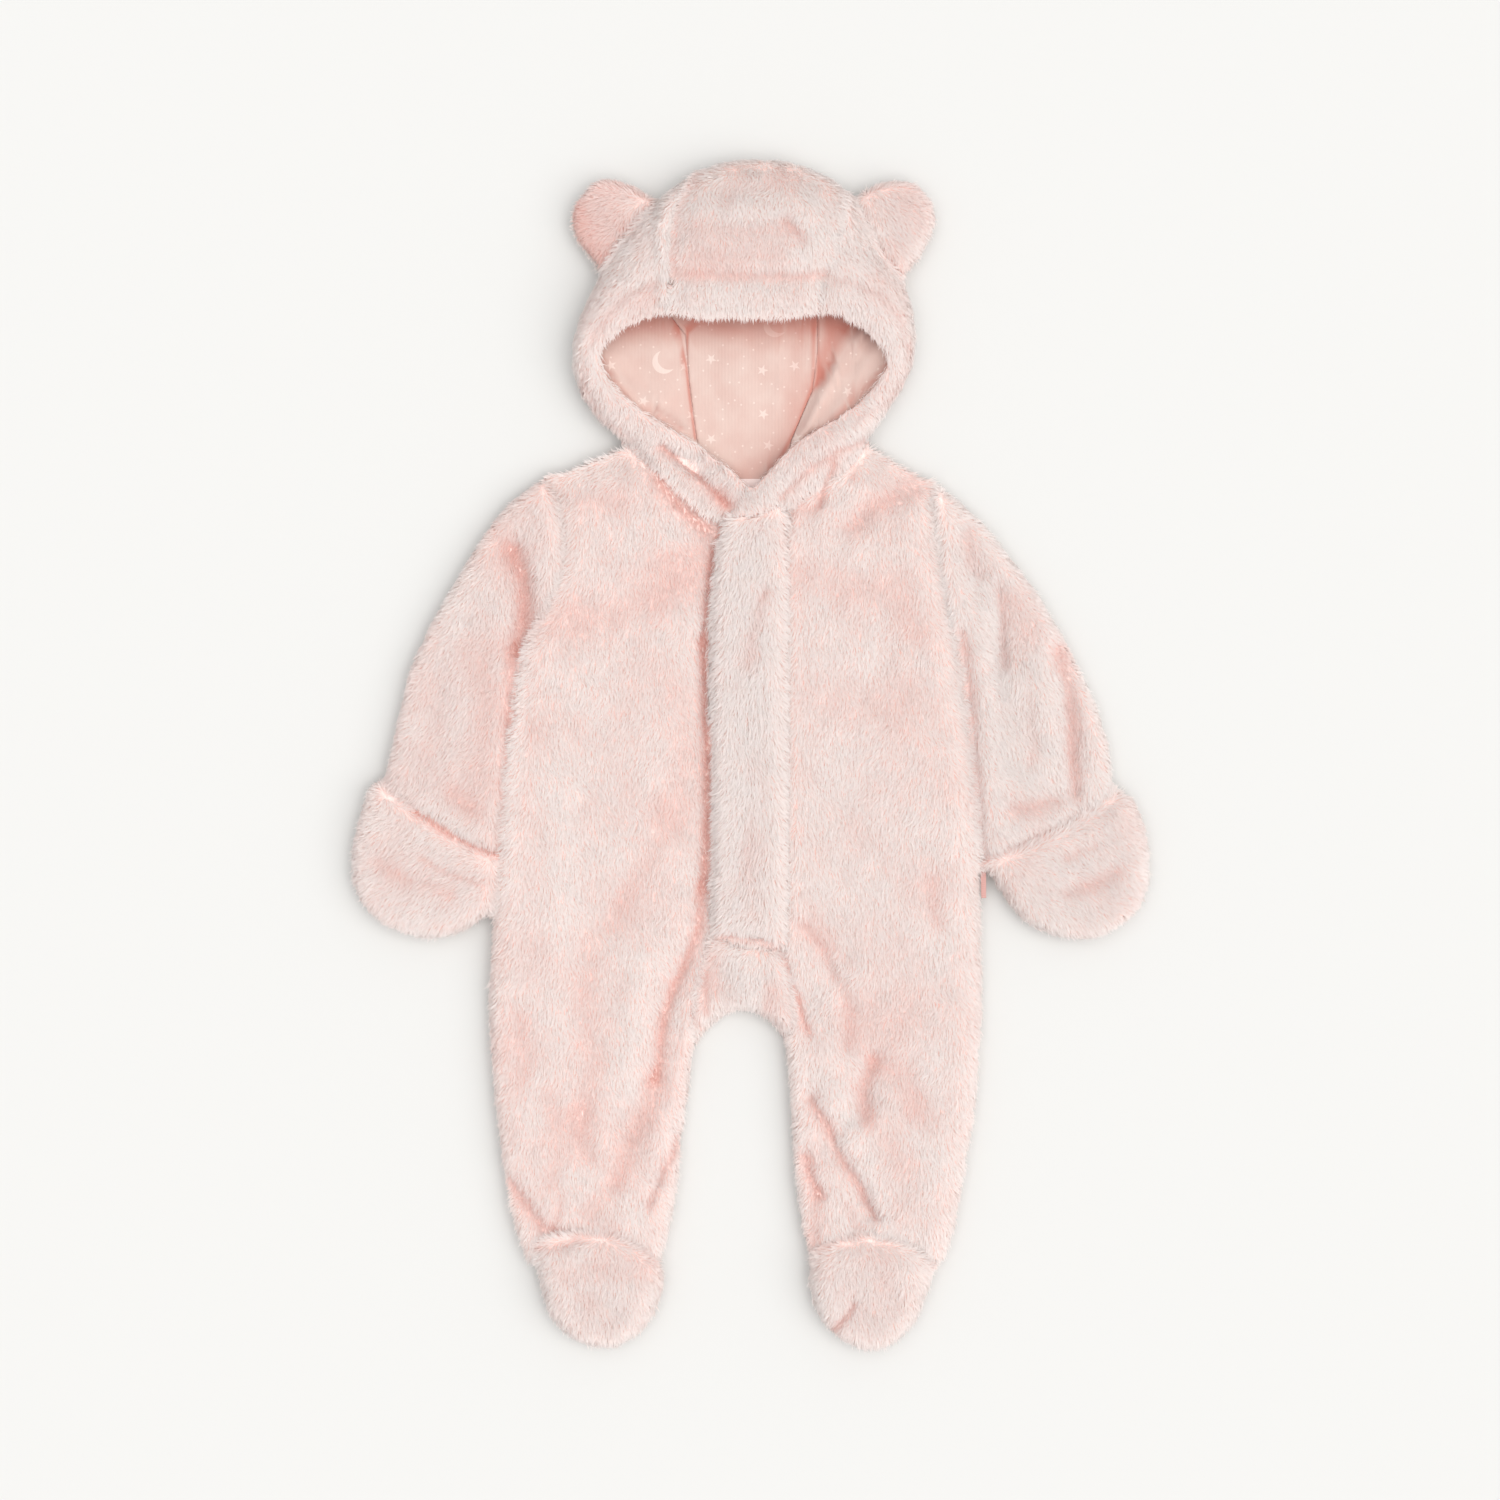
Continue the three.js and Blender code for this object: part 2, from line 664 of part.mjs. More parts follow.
// Body
const bodyGrid = { rows: 21, edges: [0, 2, 6, 14], middle: 4 };
const backGrid = { rows: 19, edges: [0, 2, 9], middle: 4 };
const endGrid = { rows: 9, edges: [0, 2, 6, 13], middle: 2 };
const soleGrid = { rows: 9, edges: [0, 2, 9], middle: 1 };
const sleeveGrid = { rows: 11, edges: [0, 2, 6, 13], middle: 3 };
const placketGrid = { rows: 11, edges: [0, 2, 6], middle: 2 };
const gussetGrid = { rows: 8, edges: [0, 2, 6], middle: 3 };
const legSpace = room(grown(betweenLegs, -seamGap, 0), { rows: 13, edges: [0], middle: 0 });
const bodyRoom = room(backSections, backGrid)
  .add(room(frontRightSections, bodyGrid))
  .add(room(frontLeftSections, bodyGrid));
const gussetRoom = room(gussetSections, gussetGrid)
  .add(room(grown(gussetSections, -seamGap, seamGap), gussetGrid));
const placketRoom = room(placketSections, placketGrid, placketBase - seamGap, tall);
const footRooms = [footRightSections, footLeftSections]
  .flatMap((sections) => [room(sections, endGrid), room(sections, soleGrid)])
  .reduce((all, next) => all.add(next));

const aboveCrotch = -165;
const innerRoll = ({ y }) => {
  const leg = smooth(aboveCrotch - y, 0, 30);
  return { radius: mix(sewn.radius, outlineRoll, leg), keep: mix(sewn.keep, 0, leg) };
};

const bodyHeight = ({ x, y }) => frontTop + relief(bodyFolds, x, y);

function frontRightHeight(point) {
  const overlap = smooth(point.x, edgeAt(placketSections, 'x0', point.y) - 7,
    edgeAt(placketSections, 'x0', point.y) - 1);
  const covered = point.y > -122 ? overlap : 0;
  return mix(bodyHeight(point), placketBase - seamGap, covered);
}

const shoulder = { radius: 12, keep: 0.15 };
const frontRolls = { outer: outline, inner: innerRoll, start: shoulder, end: sewn };
const frontRight = upperPiece(frontRightSections, bodyGrid, frontBase, frontRightHeight,
  { ...frontRolls, inner: (point) => (point.y > -100 ? square : innerRoll(point)) })
  .subtract(hoodRoom)
  .subtract(gussetRoom)
  .subtract(placketRoom)
  .subtract(room(frontLeftSections, bodyGrid))
  .subtract(footRooms);
const frontLeft = upperPiece(frontLeftSections, bodyGrid, frontBase, bodyHeight, frontRolls)
  .subtract(hoodRoom)
  .subtract(gussetRoom)
  .subtract(placketRoom)
  .subtract(footRooms);
const back = lowerPiece(backSections, backGrid, backTop,
  { outer: outline, inner: outline, start: square, end: square })
  .subtract(legSpace)
  .subtract(hoodForm(0, 0, true).subtract(underNeck))
  .subtract(footRooms);

const placketHeight = ({ outer, inner, x, y }) => (
  placketTop - 2 * (1 - rolled(Math.min(outer, inner), 18)) + 0.3 * relief(bodyFolds, x, y));
const placket = upperPiece(placketSections, placketGrid, placketBase, placketHeight,
  { outer: { radius: 7, keep: 0 }, inner: { radius: 5, keep: 0.4 }, start: square, end: sewn })
  .subtract(hoodRoom)
  .subtract(gussetRoom);
const gusset = upperPiece(gussetSections, gussetGrid, frontBase, bodyHeight,
  { outer: sewn, inner: sewn, start: sewn, end: { radius: 9, keep: 0 } });

// Sleeves, tubes open at the armhole and the cuff
function sleeve(sections) {
  const height = ({ x, y }) => sleeveTop + relief(sleeveFolds, x, y);
  const tube = wholePiece(sections, sleeveGrid, backTop, height,
    { outer: outline, inner: outline, start: square, end: square });
  const hollow = sheet(layOut(grown(sections, -10, 6), { rows: 11, edges: [0, 20], middle: 1 }),
    () => backTop + cuffHollow, () => backTop);
  return tube.subtract(hollow).subtract(bodyRoom).subtract(hoodRoom);
}

// Fold-over mitts: the palm below and the flap above, each closed round the finger tips
function mitt(sections, arm) {
  const height = ({ x, y }) => mittTop + relief(endFolds, x, y);
  const tip = { radius: 12, keep: 0 };
  const armRoom = room(arm, sleeveGrid);
  const cut = (solid) => solid.subtract(armRoom).subtract(bodyRoom);
  return {
    palm: cut(lowerPiece(sections, soleGrid, backTop,
      { outer: outline, inner: outline, start: square, end: tip })),
    flap: cut(upperPiece(sections, endGrid, frontBase, height,
      { outer: outline, inner: outline, start: { radius: 6, keep: 0.5 }, end: tip })),
  };
}

// Feet: the sole below and the vamp above
function foot(sections) {
  const height = ({ x, y }) => footTop + relief(endFolds, x, y);
  const tip = { radius: 12, keep: 0 };
  return {
    sole: lowerPiece(sections, soleGrid, backTop,
      { outer: outline, inner: outline, start: square, end: tip }),
    vamp: upperPiece(sections, endGrid, frontBase, height,
      { outer: outline, inner: outline, start: sewn, end: tip }),
  };
}

// Round ears, front and back, sewn into the hood's outline
function ear(sections) {
  const layout = { rows: 9, edges: [0, 2, 6], middle: 2 };
  const rolls = { outer: { radius: 9, keep: 0 }, inner: { radius: 9, keep: 0 },
    start: square, end: { radius: 8, keep: 0 } };
  return {
    front: upperPiece(sections, layout, earMiddle + seamGap, () => earTop, rolls).subtract(hoodRoom),
    back: lowerPiece(sections, layout, earMiddle, rolls).subtract(hoodRoom),
  };
}

const rightSleeve = sleeve(sleeveRightSections);
const leftSleeve = sleeve(sleeveLeftSections);
const rightMitt = mitt(mittRightSections, sleeveRightSections);
const leftMitt = mitt(mittLeftSections, sleeveLeftSections);
const rightFoot = foot(footRightSections);
const leftFoot = foot(footLeftSections);
const rightEar = ear(earRightSections);
const leftEar = ear(earLeftSections);

// Bare labels: one inside the neck, the other folded into the left side seam
function labelBlock(x0, y0, x1, y1, low, high) {
  return blockFrom([[x0, y0], [x1, y0], [x1, y1], [x0, y1]], low, high);
}
const liningTop = backTop + seamGap + liningWall;
const neckLabel = labelBlock(-7, 167.5, 6, 178.5, liningTop + seamGap, liningTop + seamGap + labelWall);
const sideLabel = labelBlock(149.4, -94, 153, -75, backTop - tagWall / 2, backTop + tagWall / 2)
  .subtract(bodyRoom)
  .subtract(room(mittLeftSections, endGrid));

// The largest body of a solid, without crumbs that a cut leaves
function whole(solid) {
  return solid.decompose().reduce((best, part) => (part.volume() > best.volume() ? part : best));
}

function meshNamed(name, solid, finish) {
  const { vertProperties, triVerts } = whole(solid).getMesh();
  const geometry = new THREE.BufferGeometry();
  geometry.setAttribute('position', new THREE.BufferAttribute(vertProperties, 3));
  geometry.setIndex(new THREE.BufferAttribute(triVerts, 1));
  geometry.computeVertexNormals();
  const mesh = new THREE.Mesh(geometry, new THREE.MeshStandardMaterial(finish));
  mesh.name = name;
  return mesh;
}

const pieces = [
  ['back', back, plush],
  ['front_right', frontRight, plush],
  ['front_left', frontLeft, plush],
  ['placket', placket, plush],
  ['crotch_gusset', gusset, plush],
  ['sleeve_right', rightSleeve, plush],
  ['sleeve_left', leftSleeve, plush],
  ['mitt_palm_right', rightMitt.palm, plush],
  ['mitt_flap_right', rightMitt.flap, plush],
  ['mitt_palm_left', leftMitt.palm, plush],
  ['mitt_flap_left', leftMitt.flap, plush],
  ['foot_sole_right', rightFoot.sole, plush],
  ['foot_vamp_right', rightFoot.vamp, plush],
  ['foot_sole_left', leftFoot.sole, plush],
  ['foot_vamp_left', leftFoot.vamp, plush],
  ['hood_centre', hood.centre, plush],
  ['hood_side_right', hood.right, plush],
  ['hood_side_left', hood.left, plush],
  ['ear_front_right', rightEar.front, plush],
  ['ear_back_right', rightEar.back, plush],
  ['ear_front_left', leftEar.front, plush],
  ['ear_back_left', leftEar.back, plush],
  ['lining_centre', lining.centre, jersey],
  ['lining_side_right', lining.right, jersey],
  ['lining_side_left', lining.left, jersey],
  ['neck_label', neckLabel, satin],
  ['side_label', sideLabel, satin],
];

const garment = new THREE.Group();
for (const [name, solid, finish] of pieces) {
  garment.add(meshNamed(name, solid, finish));
}

export default garment;
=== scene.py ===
import bpy
import bmesh
import math
import numpy as np
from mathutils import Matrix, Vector
from mathutils.bvhtree import BVHTree


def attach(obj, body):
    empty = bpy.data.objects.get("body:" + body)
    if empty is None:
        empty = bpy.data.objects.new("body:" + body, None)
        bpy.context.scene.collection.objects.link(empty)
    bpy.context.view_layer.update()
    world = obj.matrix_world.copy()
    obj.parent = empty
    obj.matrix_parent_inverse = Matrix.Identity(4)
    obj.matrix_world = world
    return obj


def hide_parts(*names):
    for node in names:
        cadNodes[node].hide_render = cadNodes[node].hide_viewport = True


# A plush hooded all-in-one laid flat on its back: head towards +Y, right and left are the wearer's.
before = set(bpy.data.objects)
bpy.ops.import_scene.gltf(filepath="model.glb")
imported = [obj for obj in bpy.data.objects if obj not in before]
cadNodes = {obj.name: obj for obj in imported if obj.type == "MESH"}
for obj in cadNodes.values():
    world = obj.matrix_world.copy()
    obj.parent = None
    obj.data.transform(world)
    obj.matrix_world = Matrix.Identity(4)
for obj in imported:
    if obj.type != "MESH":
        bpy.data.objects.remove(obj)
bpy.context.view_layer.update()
scene = bpy.context.scene
mm = 0.001

print("stage: camera, floor and light")
shot = {"frameWidth": 975 * mm, "lens": 85.0, "sensor": 36.0, "aimX": -0.65 * mm, "aimY": 2.3 * mm,
        "aimZ": 12 * mm, "floorSize": 6.0, "keyPower": 1.15, "keySoftness": 55.0, "topPower": 1.2,
        "topSoftness": 70.0, "fill": 0.82, "fromRight": 0.14, "paper": "#d5d4d1"}


def linear(hexColour, alpha=1.0):
    values = [int(hexColour[i:i + 2], 16) / 255 for i in (1, 3, 5)]
    return tuple(v / 12.92 if v <= 0.04045 else ((v + 0.055) / 1.055) ** 2.4 for v in values) + (alpha,)


def addNode(tree, kind, settings=None, links=None):
    node = tree.nodes.new(kind)
    for name, value in (settings or {}).items():
        if isinstance(name, int) or name in node.inputs:
            node.inputs[name].default_value = value
        else:
            setattr(node, name, value)
    for name, source in (links or {}).items():
        tree.links.new(source, node.inputs[name])
    return node


def newMaterial(name):
    material = bpy.data.materials.new(name)
    material.use_nodes = True
    tree = material.node_tree
    tree.nodes.clear()
    return material, tree, tree.nodes.new("ShaderNodeOutputMaterial")


def finishMaterial(tree, output, settings, links):
    shader = addNode(tree, "ShaderNodeBsdfPrincipled", settings, links)
    tree.links.new(shader.outputs["BSDF"], output.inputs["Surface"])


def calc(tree, operation, *values):
    node = addNode(tree, "ShaderNodeMath", {"operation": operation})
    for index, value in enumerate(values):
        if isinstance(value, (int, float)):
            node.inputs[index].default_value = value
        else:
            tree.links.new(value, node.inputs[index])
    return node.outputs[0]


def ramp(tree, source, stops):
    node = addNode(tree, "ShaderNodeValToRGB", None, {"Fac": source})
    elements = node.color_ramp.elements
    for index, (place, colour) in enumerate(stops):
        element = elements[index] if index < 2 else elements.new(place)
        element.position = place
        element.color = linear(colour)
    return node.outputs["Color"]


def mixColours(tree, share, first, second):
    node = addNode(tree, "ShaderNodeMix", {"data_type": "RGBA"})
    for index, value in ((0, share), (6, first), (7, second)):
        if isinstance(value, (float, tuple)):
            node.inputs[index].default_value = value
        else:
            tree.links.new(value, node.inputs[index])
    return node.outputs[2]


def objectCoords(tree):
    return tree.nodes.new("ShaderNodeTexCoord").outputs["Object"]


cameraData = bpy.data.cameras.new("camera")
cameraData.lens = shot["lens"]
cameraData.sensor_width = shot["sensor"]
cameraData.clip_end = 50.0
camera = bpy.data.objects.new("camera", cameraData)
cameraHeight = shot["frameWidth"] * shot["lens"] / shot["sensor"]
camera.location = (shot["aimX"], shot["aimY"], shot["aimZ"] + cameraHeight)
scene.collection.objects.link(camera)
scene.camera = camera
scene.view_settings.view_transform = "Standard"

# Studio paper: matt and even
floorMaterial, tree, output = newMaterial("matt_studio_paper")
grain = addNode(tree, "ShaderNodeTexNoise", {"Scale": 900.0, "Detail": 2.0}, {"Vector": objectCoords(tree)})
paper = ramp(tree, grain.outputs["Fac"], [(0.3, shot["paper"]), (0.7, shot["paper"])])
finishMaterial(tree, output, {"Roughness": 0.95, "Specular IOR Level": 0.1}, {"Base Color": paper})
paperSheet = bmesh.new()
bmesh.ops.create_grid(paperSheet, x_segments=1, y_segments=1, size=shot["floorSize"] / 2)
floorMesh = bpy.data.meshes.new("floor")
paperSheet.to_mesh(floorMesh)
paperSheet.free()
floorMesh.materials.append(floorMaterial)
floor = bpy.data.objects.new("floor", floorMesh)
scene.collection.objects.link(floor)


def addSun(name, power, softness, source):
    light = bpy.data.lights.new(name, "SUN")
    light.energy = power
    light.angle = math.radians(softness)
    light.color = (1.0, 0.985, 0.97)
    sun = bpy.data.objects.new(name, light)
    sun.rotation_euler = Vector(source).to_track_quat("Z", "Y").to_euler()
    scene.collection.objects.link(sun)


addSun("key", shot["keyPower"], shot["keySoftness"], (0.66, -0.25, 0.85))
addSun("overhead", shot["topPower"], shot["topSoftness"], (0.0, 0.0, 1.0))

world = bpy.data.worlds.new("studio")
world.use_nodes = True
background = world.node_tree.nodes["Background"]
background.inputs["Color"].default_value = linear("#f6f8fb")
wayOut = addNode(world.node_tree, "ShaderNodeTexCoord")
aside = addNode(world.node_tree, "ShaderNodeSeparateXYZ", None, {0: wayOut.outputs["Generated"]})
uneven = calc(world.node_tree, "MULTIPLY", aside.outputs["X"], shot["fill"] * shot["fromRight"])
world.node_tree.links.new(calc(world.node_tree, "ADD", uneven, shot["fill"]), background.inputs["Strength"])
scene.world = world

print("stage: materials")
# Long polyester pile: its fibres let light through, which keeps the fabric pale and soft between them.
# u of the map is a fibre's tone, lowered by the creases' painted shade and raised by their painted highlights, v runs
# from its root to its tip.
# Painted shade: both colour sets darken and turn pinker towards the root, as shade deep in the pile; the first set is
# both the pinker tone and the colour that the creases' painted shade draws the fibres to
pileFinish = {"flushedAndShaded": ("#e1a498", "#ebbfb4", "#f3d8d0"), "pale": ("#f5e9e4", "#f7f1ee", "#f9f6f4"),
              "roughness": 0.8, "sheen": 0.25, "through": 0.5}


def makePileMaterial(name, finish):
    material, tree, output = newMaterial(name)
    place = addNode(tree, "ShaderNodeUVMap", {"uv_map": "OFBake"})
    parts = addNode(tree, "ShaderNodeSeparateXYZ", None, {0: place.outputs["UV"]})
    stops = (0.0, 0.45, 1.0)
    flushedAndShaded = ramp(tree, parts.outputs["Y"], list(zip(stops, finish["flushedAndShaded"])))
    pale = ramp(tree, parts.outputs["Y"], list(zip(stops, finish["pale"])))
    colour = mixColours(tree, parts.outputs["X"], flushedAndShaded, pale)
    shader = addNode(tree, "ShaderNodeBsdfPrincipled",
                     {"Roughness": finish["roughness"], "Sheen Weight": finish["sheen"],
                      "Sheen Roughness": 0.4, "Specular IOR Level": 0.2}, {"Base Color": colour})
    glow = addNode(tree, "ShaderNodeBsdfTranslucent", None, {"Color": colour})
    both = addNode(tree, "ShaderNodeMixShader", {0: finish["through"]},
                   {1: shader.outputs["BSDF"], 2: glow.outputs["BSDF"]})
    tree.links.new(both.outputs[0], output.inputs["Surface"])
    return material


pileMaterial = makePileMaterial("polyester_long_pile", pileFinish)

# Knitted ground under the pile: matt, with fibres pressed flat against it
groundFinish = {"deepToneAndShade": "#f1cdc4", "pale": "#f7e4de", "fibreMm": 0.9, "patchMm": 9.0, "bumpMm": 0.5}


def makeGroundMaterial(name, finish):
    material, tree, output = newMaterial(name)
    coords = objectCoords(tree)
    combed = addNode(tree, "ShaderNodeMapping", {"Scale": (1.0, 0.2, 1.0)}, {"Vector": coords})
    fibre = addNode(tree, "ShaderNodeTexNoise", {"Scale": 1 / (finish["fibreMm"] * mm), "Detail": 3.0,
                                                 "Distortion": 0.6}, {"Vector": combed.outputs["Vector"]})
    patch = addNode(tree, "ShaderNodeTexNoise", {"Scale": 1 / (finish["patchMm"] * mm), "Detail": 2.0},
                    {"Vector": coords})
    both = calc(tree, "ADD", calc(tree, "MULTIPLY", fibre.outputs["Fac"], 0.6),
                calc(tree, "MULTIPLY", patch.outputs["Fac"], 0.4))
    colour = ramp(tree, both, [(0.38, finish["deepToneAndShade"]), (0.62, finish["pale"])])
    bump = addNode(tree, "ShaderNodeBump", {"Strength": 0.6, "Distance": finish["bumpMm"] * mm},
                   {"Height": fibre.outputs["Fac"]})
    finishMaterial(tree, output, {"Roughness": 0.95, "Sheen Weight": 0.3, "Specular IOR Level": 0.15},
                   {"Base Color": colour, "Normal": bump.outputs["Normal"]})
    return material


groundMaterial = makeGroundMaterial("knitted_plush_ground", groundFinish)

# Single cotton jersey: fine wales, printed with small cream stars, crescents and dots, and darkened to its deepest
# colour as painted shade along the folds and seams and under the brim
jerseyFinish = {"ground": "#d4bbb1", "shade": "#cfb1a7", "deepToneAndShade": "#bd7364", "print": "#eedfd6", "waleMm": 1.1,
                "strength": 0.45, "starCellMm": 27.0, "starMm": 3.9, "moonCellMm": 82.0, "moonMm": 7.5,
                "moonRoomMm": 11.0,
                "dotCellMm": 8.5, "dotMm": 0.65}


def cellPoint(tree, coords, cellMm, loose):
    """Where a point lies from the middle of its motif in mm, and three random numbers of that motif."""
    density = 1 / (cellMm * mm)
    cell = addNode(tree, "ShaderNodeTexVoronoi", {"voronoi_dimensions": "2D", "Scale": density,
                                                  "Randomness": loose}, {"Vector": coords})
    here = addNode(tree, "ShaderNodeSeparateXYZ", None, {0: coords})
    middle = addNode(tree, "ShaderNodeSeparateXYZ", None, {0: cell.outputs["Position"]})
    chance = addNode(tree, "ShaderNodeSeparateColor", None, {0: cell.outputs["Color"]})
    away = [calc(tree, "DIVIDE", calc(tree, "SUBTRACT", here.outputs[axis], middle.outputs[axis]), mm)
            for axis in ("X", "Y")]
    return away[0], away[1], chance.outputs


def withinCircle(tree, x, y, radius, shiftX=0.0, shiftY=0.0):
    dx = calc(tree, "SUBTRACT", x, shiftX)
    dy = calc(tree, "SUBTRACT", y, shiftY)
    away = calc(tree, "ADD", calc(tree, "MULTIPLY", dx, dx), calc(tree, "MULTIPLY", dy, dy))
    return calc(tree, "LESS_THAN", away, radius * radius)


def withinStar(tree, x, y, turn, radius, waist=0.38):
    angle = calc(tree, "ADD", calc(tree, "ARCTAN2", y, x), calc(tree, "MULTIPLY", turn, math.tau))
    away = calc(tree, "SQRT", calc(tree, "ADD", calc(tree, "MULTIPLY", x, x), calc(tree, "MULTIPLY", y, y)))
    folded = calc(tree, "PINGPONG", angle, math.pi / 5)
    along = calc(tree, "MULTIPLY", away, calc(tree, "COSINE", folded))
    across = calc(tree, "MULTIPLY", away, calc(tree, "SINE", folded))
    waistX = radius * waist * math.cos(math.pi / 5)
    waistY = radius * waist * math.sin(math.pi / 5)
    edge = calc(tree, "ADD", calc(tree, "MULTIPLY", calc(tree, "SUBTRACT", along, radius), waistY),
                calc(tree, "MULTIPLY", across, radius - waistX))
    return calc(tree, "LESS_THAN", edge, 0.0)


def makeJerseyMaterial(name, finish):
    material, tree, output = newMaterial(name)
    coords = objectCoords(tree)
    x, y, chance = cellPoint(tree, coords, finish["moonCellMm"], 0.45)
    size = finish["moonMm"]
    moons = calc(tree, "MULTIPLY", withinCircle(tree, x, y, size),
                 calc(tree, "SUBTRACT", 1.0, withinCircle(tree, x, y, size * 0.95, size * 0.42, size * 0.3)))
    clear = calc(tree, "SUBTRACT", 1.0, withinCircle(tree, x, y, finish["moonRoomMm"]))
    x, y, chance = cellPoint(tree, coords, finish["starCellMm"], 0.7)
    stars = calc(tree, "MULTIPLY", withinStar(tree, x, y, chance["Red"], finish["starMm"]),
                 calc(tree, "GREATER_THAN", chance["Green"], 0.2))
    x, y, chance = cellPoint(tree, coords, finish["dotCellMm"], 0.9)
    dots = calc(tree, "MULTIPLY", withinCircle(tree, x, y, finish["dotMm"]),
                calc(tree, "GREATER_THAN", chance["Blue"], 0.4))
    small = calc(tree, "MULTIPLY", calc(tree, "MAXIMUM", stars, dots), clear)
    printed = calc(tree, "MULTIPLY", calc(tree, "MAXIMUM", small, moons), finish["strength"])
    wale = addNode(tree, "ShaderNodeTexWave", {"wave_type": "BANDS", "bands_direction": "X",
                                               "Scale": 1 / (finish["waleMm"] * mm) / 6.283, "Distortion": 0.6},
                   {"Vector": coords})
    fleck = addNode(tree, "ShaderNodeTexNoise", {"Scale": 1 / (14 * mm), "Detail": 3.0}, {"Vector": coords})
    ground = ramp(tree, fleck.outputs["Fac"], [(0.3, finish["shade"]), (0.7, finish["ground"])])
    colour = mixColours(tree, printed, ground, linear(finish["print"]))
    # Painted shade: the jersey darkens to its deepest colour along the folds and seams and in a band under the brim
    pressed = addNode(tree, "ShaderNodeUVMap", {"uv_map": "folds"})
    paintedShadeAt = addNode(tree, "ShaderNodeSeparateXYZ", None, {0: pressed.outputs["UV"]})
    colour = mixColours(tree, paintedShadeAt.outputs["X"], colour, linear(finish["deepToneAndShade"]))
    bump = addNode(tree, "ShaderNodeBump", {"Strength": 0.35, "Distance": 0.15 * mm},
                   {"Height": wale.outputs["Fac"]})
    finishMaterial(tree, output, {"Roughness": 0.8, "Sheen Weight": 0.25, "Specular IOR Level": 0.25},
                   {"Base Color": colour, "Normal": bump.outputs["Normal"]})
    return material


jerseyMaterial = makeJerseyMaterial("printed_cotton_jersey", jerseyFinish)


# Woven satin: smooth ribbon with a faint rib across it
def makeSatinMaterial(name, colours, ribMm):
    material, tree, output = newMaterial(name)
    rib = addNode(tree, "ShaderNodeTexWave", {"wave_type": "BANDS", "bands_direction": "Y",
                                              "Scale": 1 / (ribMm * mm) / 6.283}, {"Vector": objectCoords(tree)})
    tint = ramp(tree, rib.outputs["Fac"], list(zip((0.0, 1.0), colours)))
    bump = addNode(tree, "ShaderNodeBump", {"Strength": 0.3, "Distance": 0.08 * mm}, {"Height": rib.outputs["Fac"]})
    finishMaterial(tree, output, {"Roughness": 0.45, "Specular IOR Level": 0.4},
                   {"Base Color": tint, "Normal": bump.outputs["Normal"]})
    return material


neckLabelMaterial = makeSatinMaterial("woven_satin_label", ("#f0d9d3", "#f6e4df"), 0.6)
sideLabelMaterial = makeSatinMaterial("rose_satin_ribbon", ("#c08f88", "#cb9c94"), 0.6)

print("stage: cloth helpers")
# The creases are given where they lie in the picture that the camera takes
picture = {"middleX": 751.0, "middleY": 753.5, "mmAPixel": 0.65}


def pictureMm(points):
    return [((x - picture["middleX"]) * picture["mmAPixel"], (picture["middleY"] - y) * picture["mmAPixel"])
            for x, y in points]


def awayFrom(line, x, y):
    """Distance in mm of points from a line through some places of the picture."""
    places = pictureMm(line)
    nearest = np.full_like(x, 1e9)
    for (x0, y0), (x1, y1) in zip(places, places[1:]):
        long = max((x1 - x0) ** 2 + (y1 - y0) ** 2, 1e-9)
        share = np.clip(((x - x0) * (x1 - x0) + (y - y0) * (y1 - y0)) / long, 0.0, 1.0)
        nearest = np.minimum(nearest, np.hypot(x - (x0 + (x1 - x0) * share), y - (y0 + (y1 - y0) * share)))
    return nearest


def creased(creases, x, y, which):
    """Sum of the creases at points in mm: their depth in mm, or the painted shade they put on the cloth (painted
    highlight where negative).
    """
    total = np.zeros_like(x)
    for depth, width, paintedShadeAndHighlight, line in creases:
        total += (depth, paintedShadeAndHighlight)[which] * np.exp(-(awayFrom(line, x, y) / width) ** 2)
    return total


def meshArrays(mesh):
    mesh.calc_loop_triangles()
    points = np.zeros(len(mesh.vertices) * 3)
    mesh.vertices.foreach_get("co", points)
    normals = np.zeros(len(mesh.vertices) * 3)
    mesh.vertices.foreach_get("normal", normals)
    triangles = np.zeros(len(mesh.loop_triangles) * 3, dtype=np.int64)
    mesh.loop_triangles.foreach_get("vertices", triangles)
    return points.reshape(-1, 3), normals.reshape(-1, 3), triangles.reshape(-1, 3)


nodeArrays = {name: meshArrays(node.data) for name, node in cadNodes.items()}


def treeOf(names):
    points, faces, start = [], [], 0
    for name in names:
        nodePoints, _, triangles = nodeArrays[name]
        points.append(nodePoints)
        faces.append(triangles + start)
        start += len(nodePoints)
    return BVHTree.FromPolygons(np.concatenate(points).tolist(), np.concatenate(faces).tolist())


def neighboursOf(nodeName):
    """The other solids, to feel for from a panel's own surface."""
    return treeOf([name for name in nodeArrays if name != nodeName])


liningTree = treeOf([name for name in nodeArrays if name.startswith("lining")])


def facesLining(points, normals):
    """True where a side of the hood's rim looks into the hood."""
    inside = np.zeros(len(points), dtype=bool)
    for index in np.nonzero(np.abs(normals[:, 2]) < 0.6)[0]:
        way = Vector((normals[index, 0], normals[index, 1], -0.35)).normalized()
        inside[index] = liningTree.ray_cast(Vector(points[index]), way, 120 * mm)[0] is not None
    return inside


def clearWays(tree, points, directions, reach):
    """1 for each point with nothing within reach along its direction, and 0 for a covered one."""
    return np.array([0.0 if tree.ray_cast(Vector(p), Vector(d), reach)[0] else 1.0
                     for p, d in zip(points, directions)])


def spread(values, edges, rounds):
    """Evens out a value over the mesh, so that what it drives changes gently."""
    for _ in range(rounds):
        total = values.copy()
        count = np.ones_like(values)
        for a, b in ((0, 1), (1, 0)):
            total += np.bincount(edges[:, a], values[edges[:, b]], len(values))
            count += np.bincount(edges[:, a], minlength=len(values))
        values = total / count
    return values


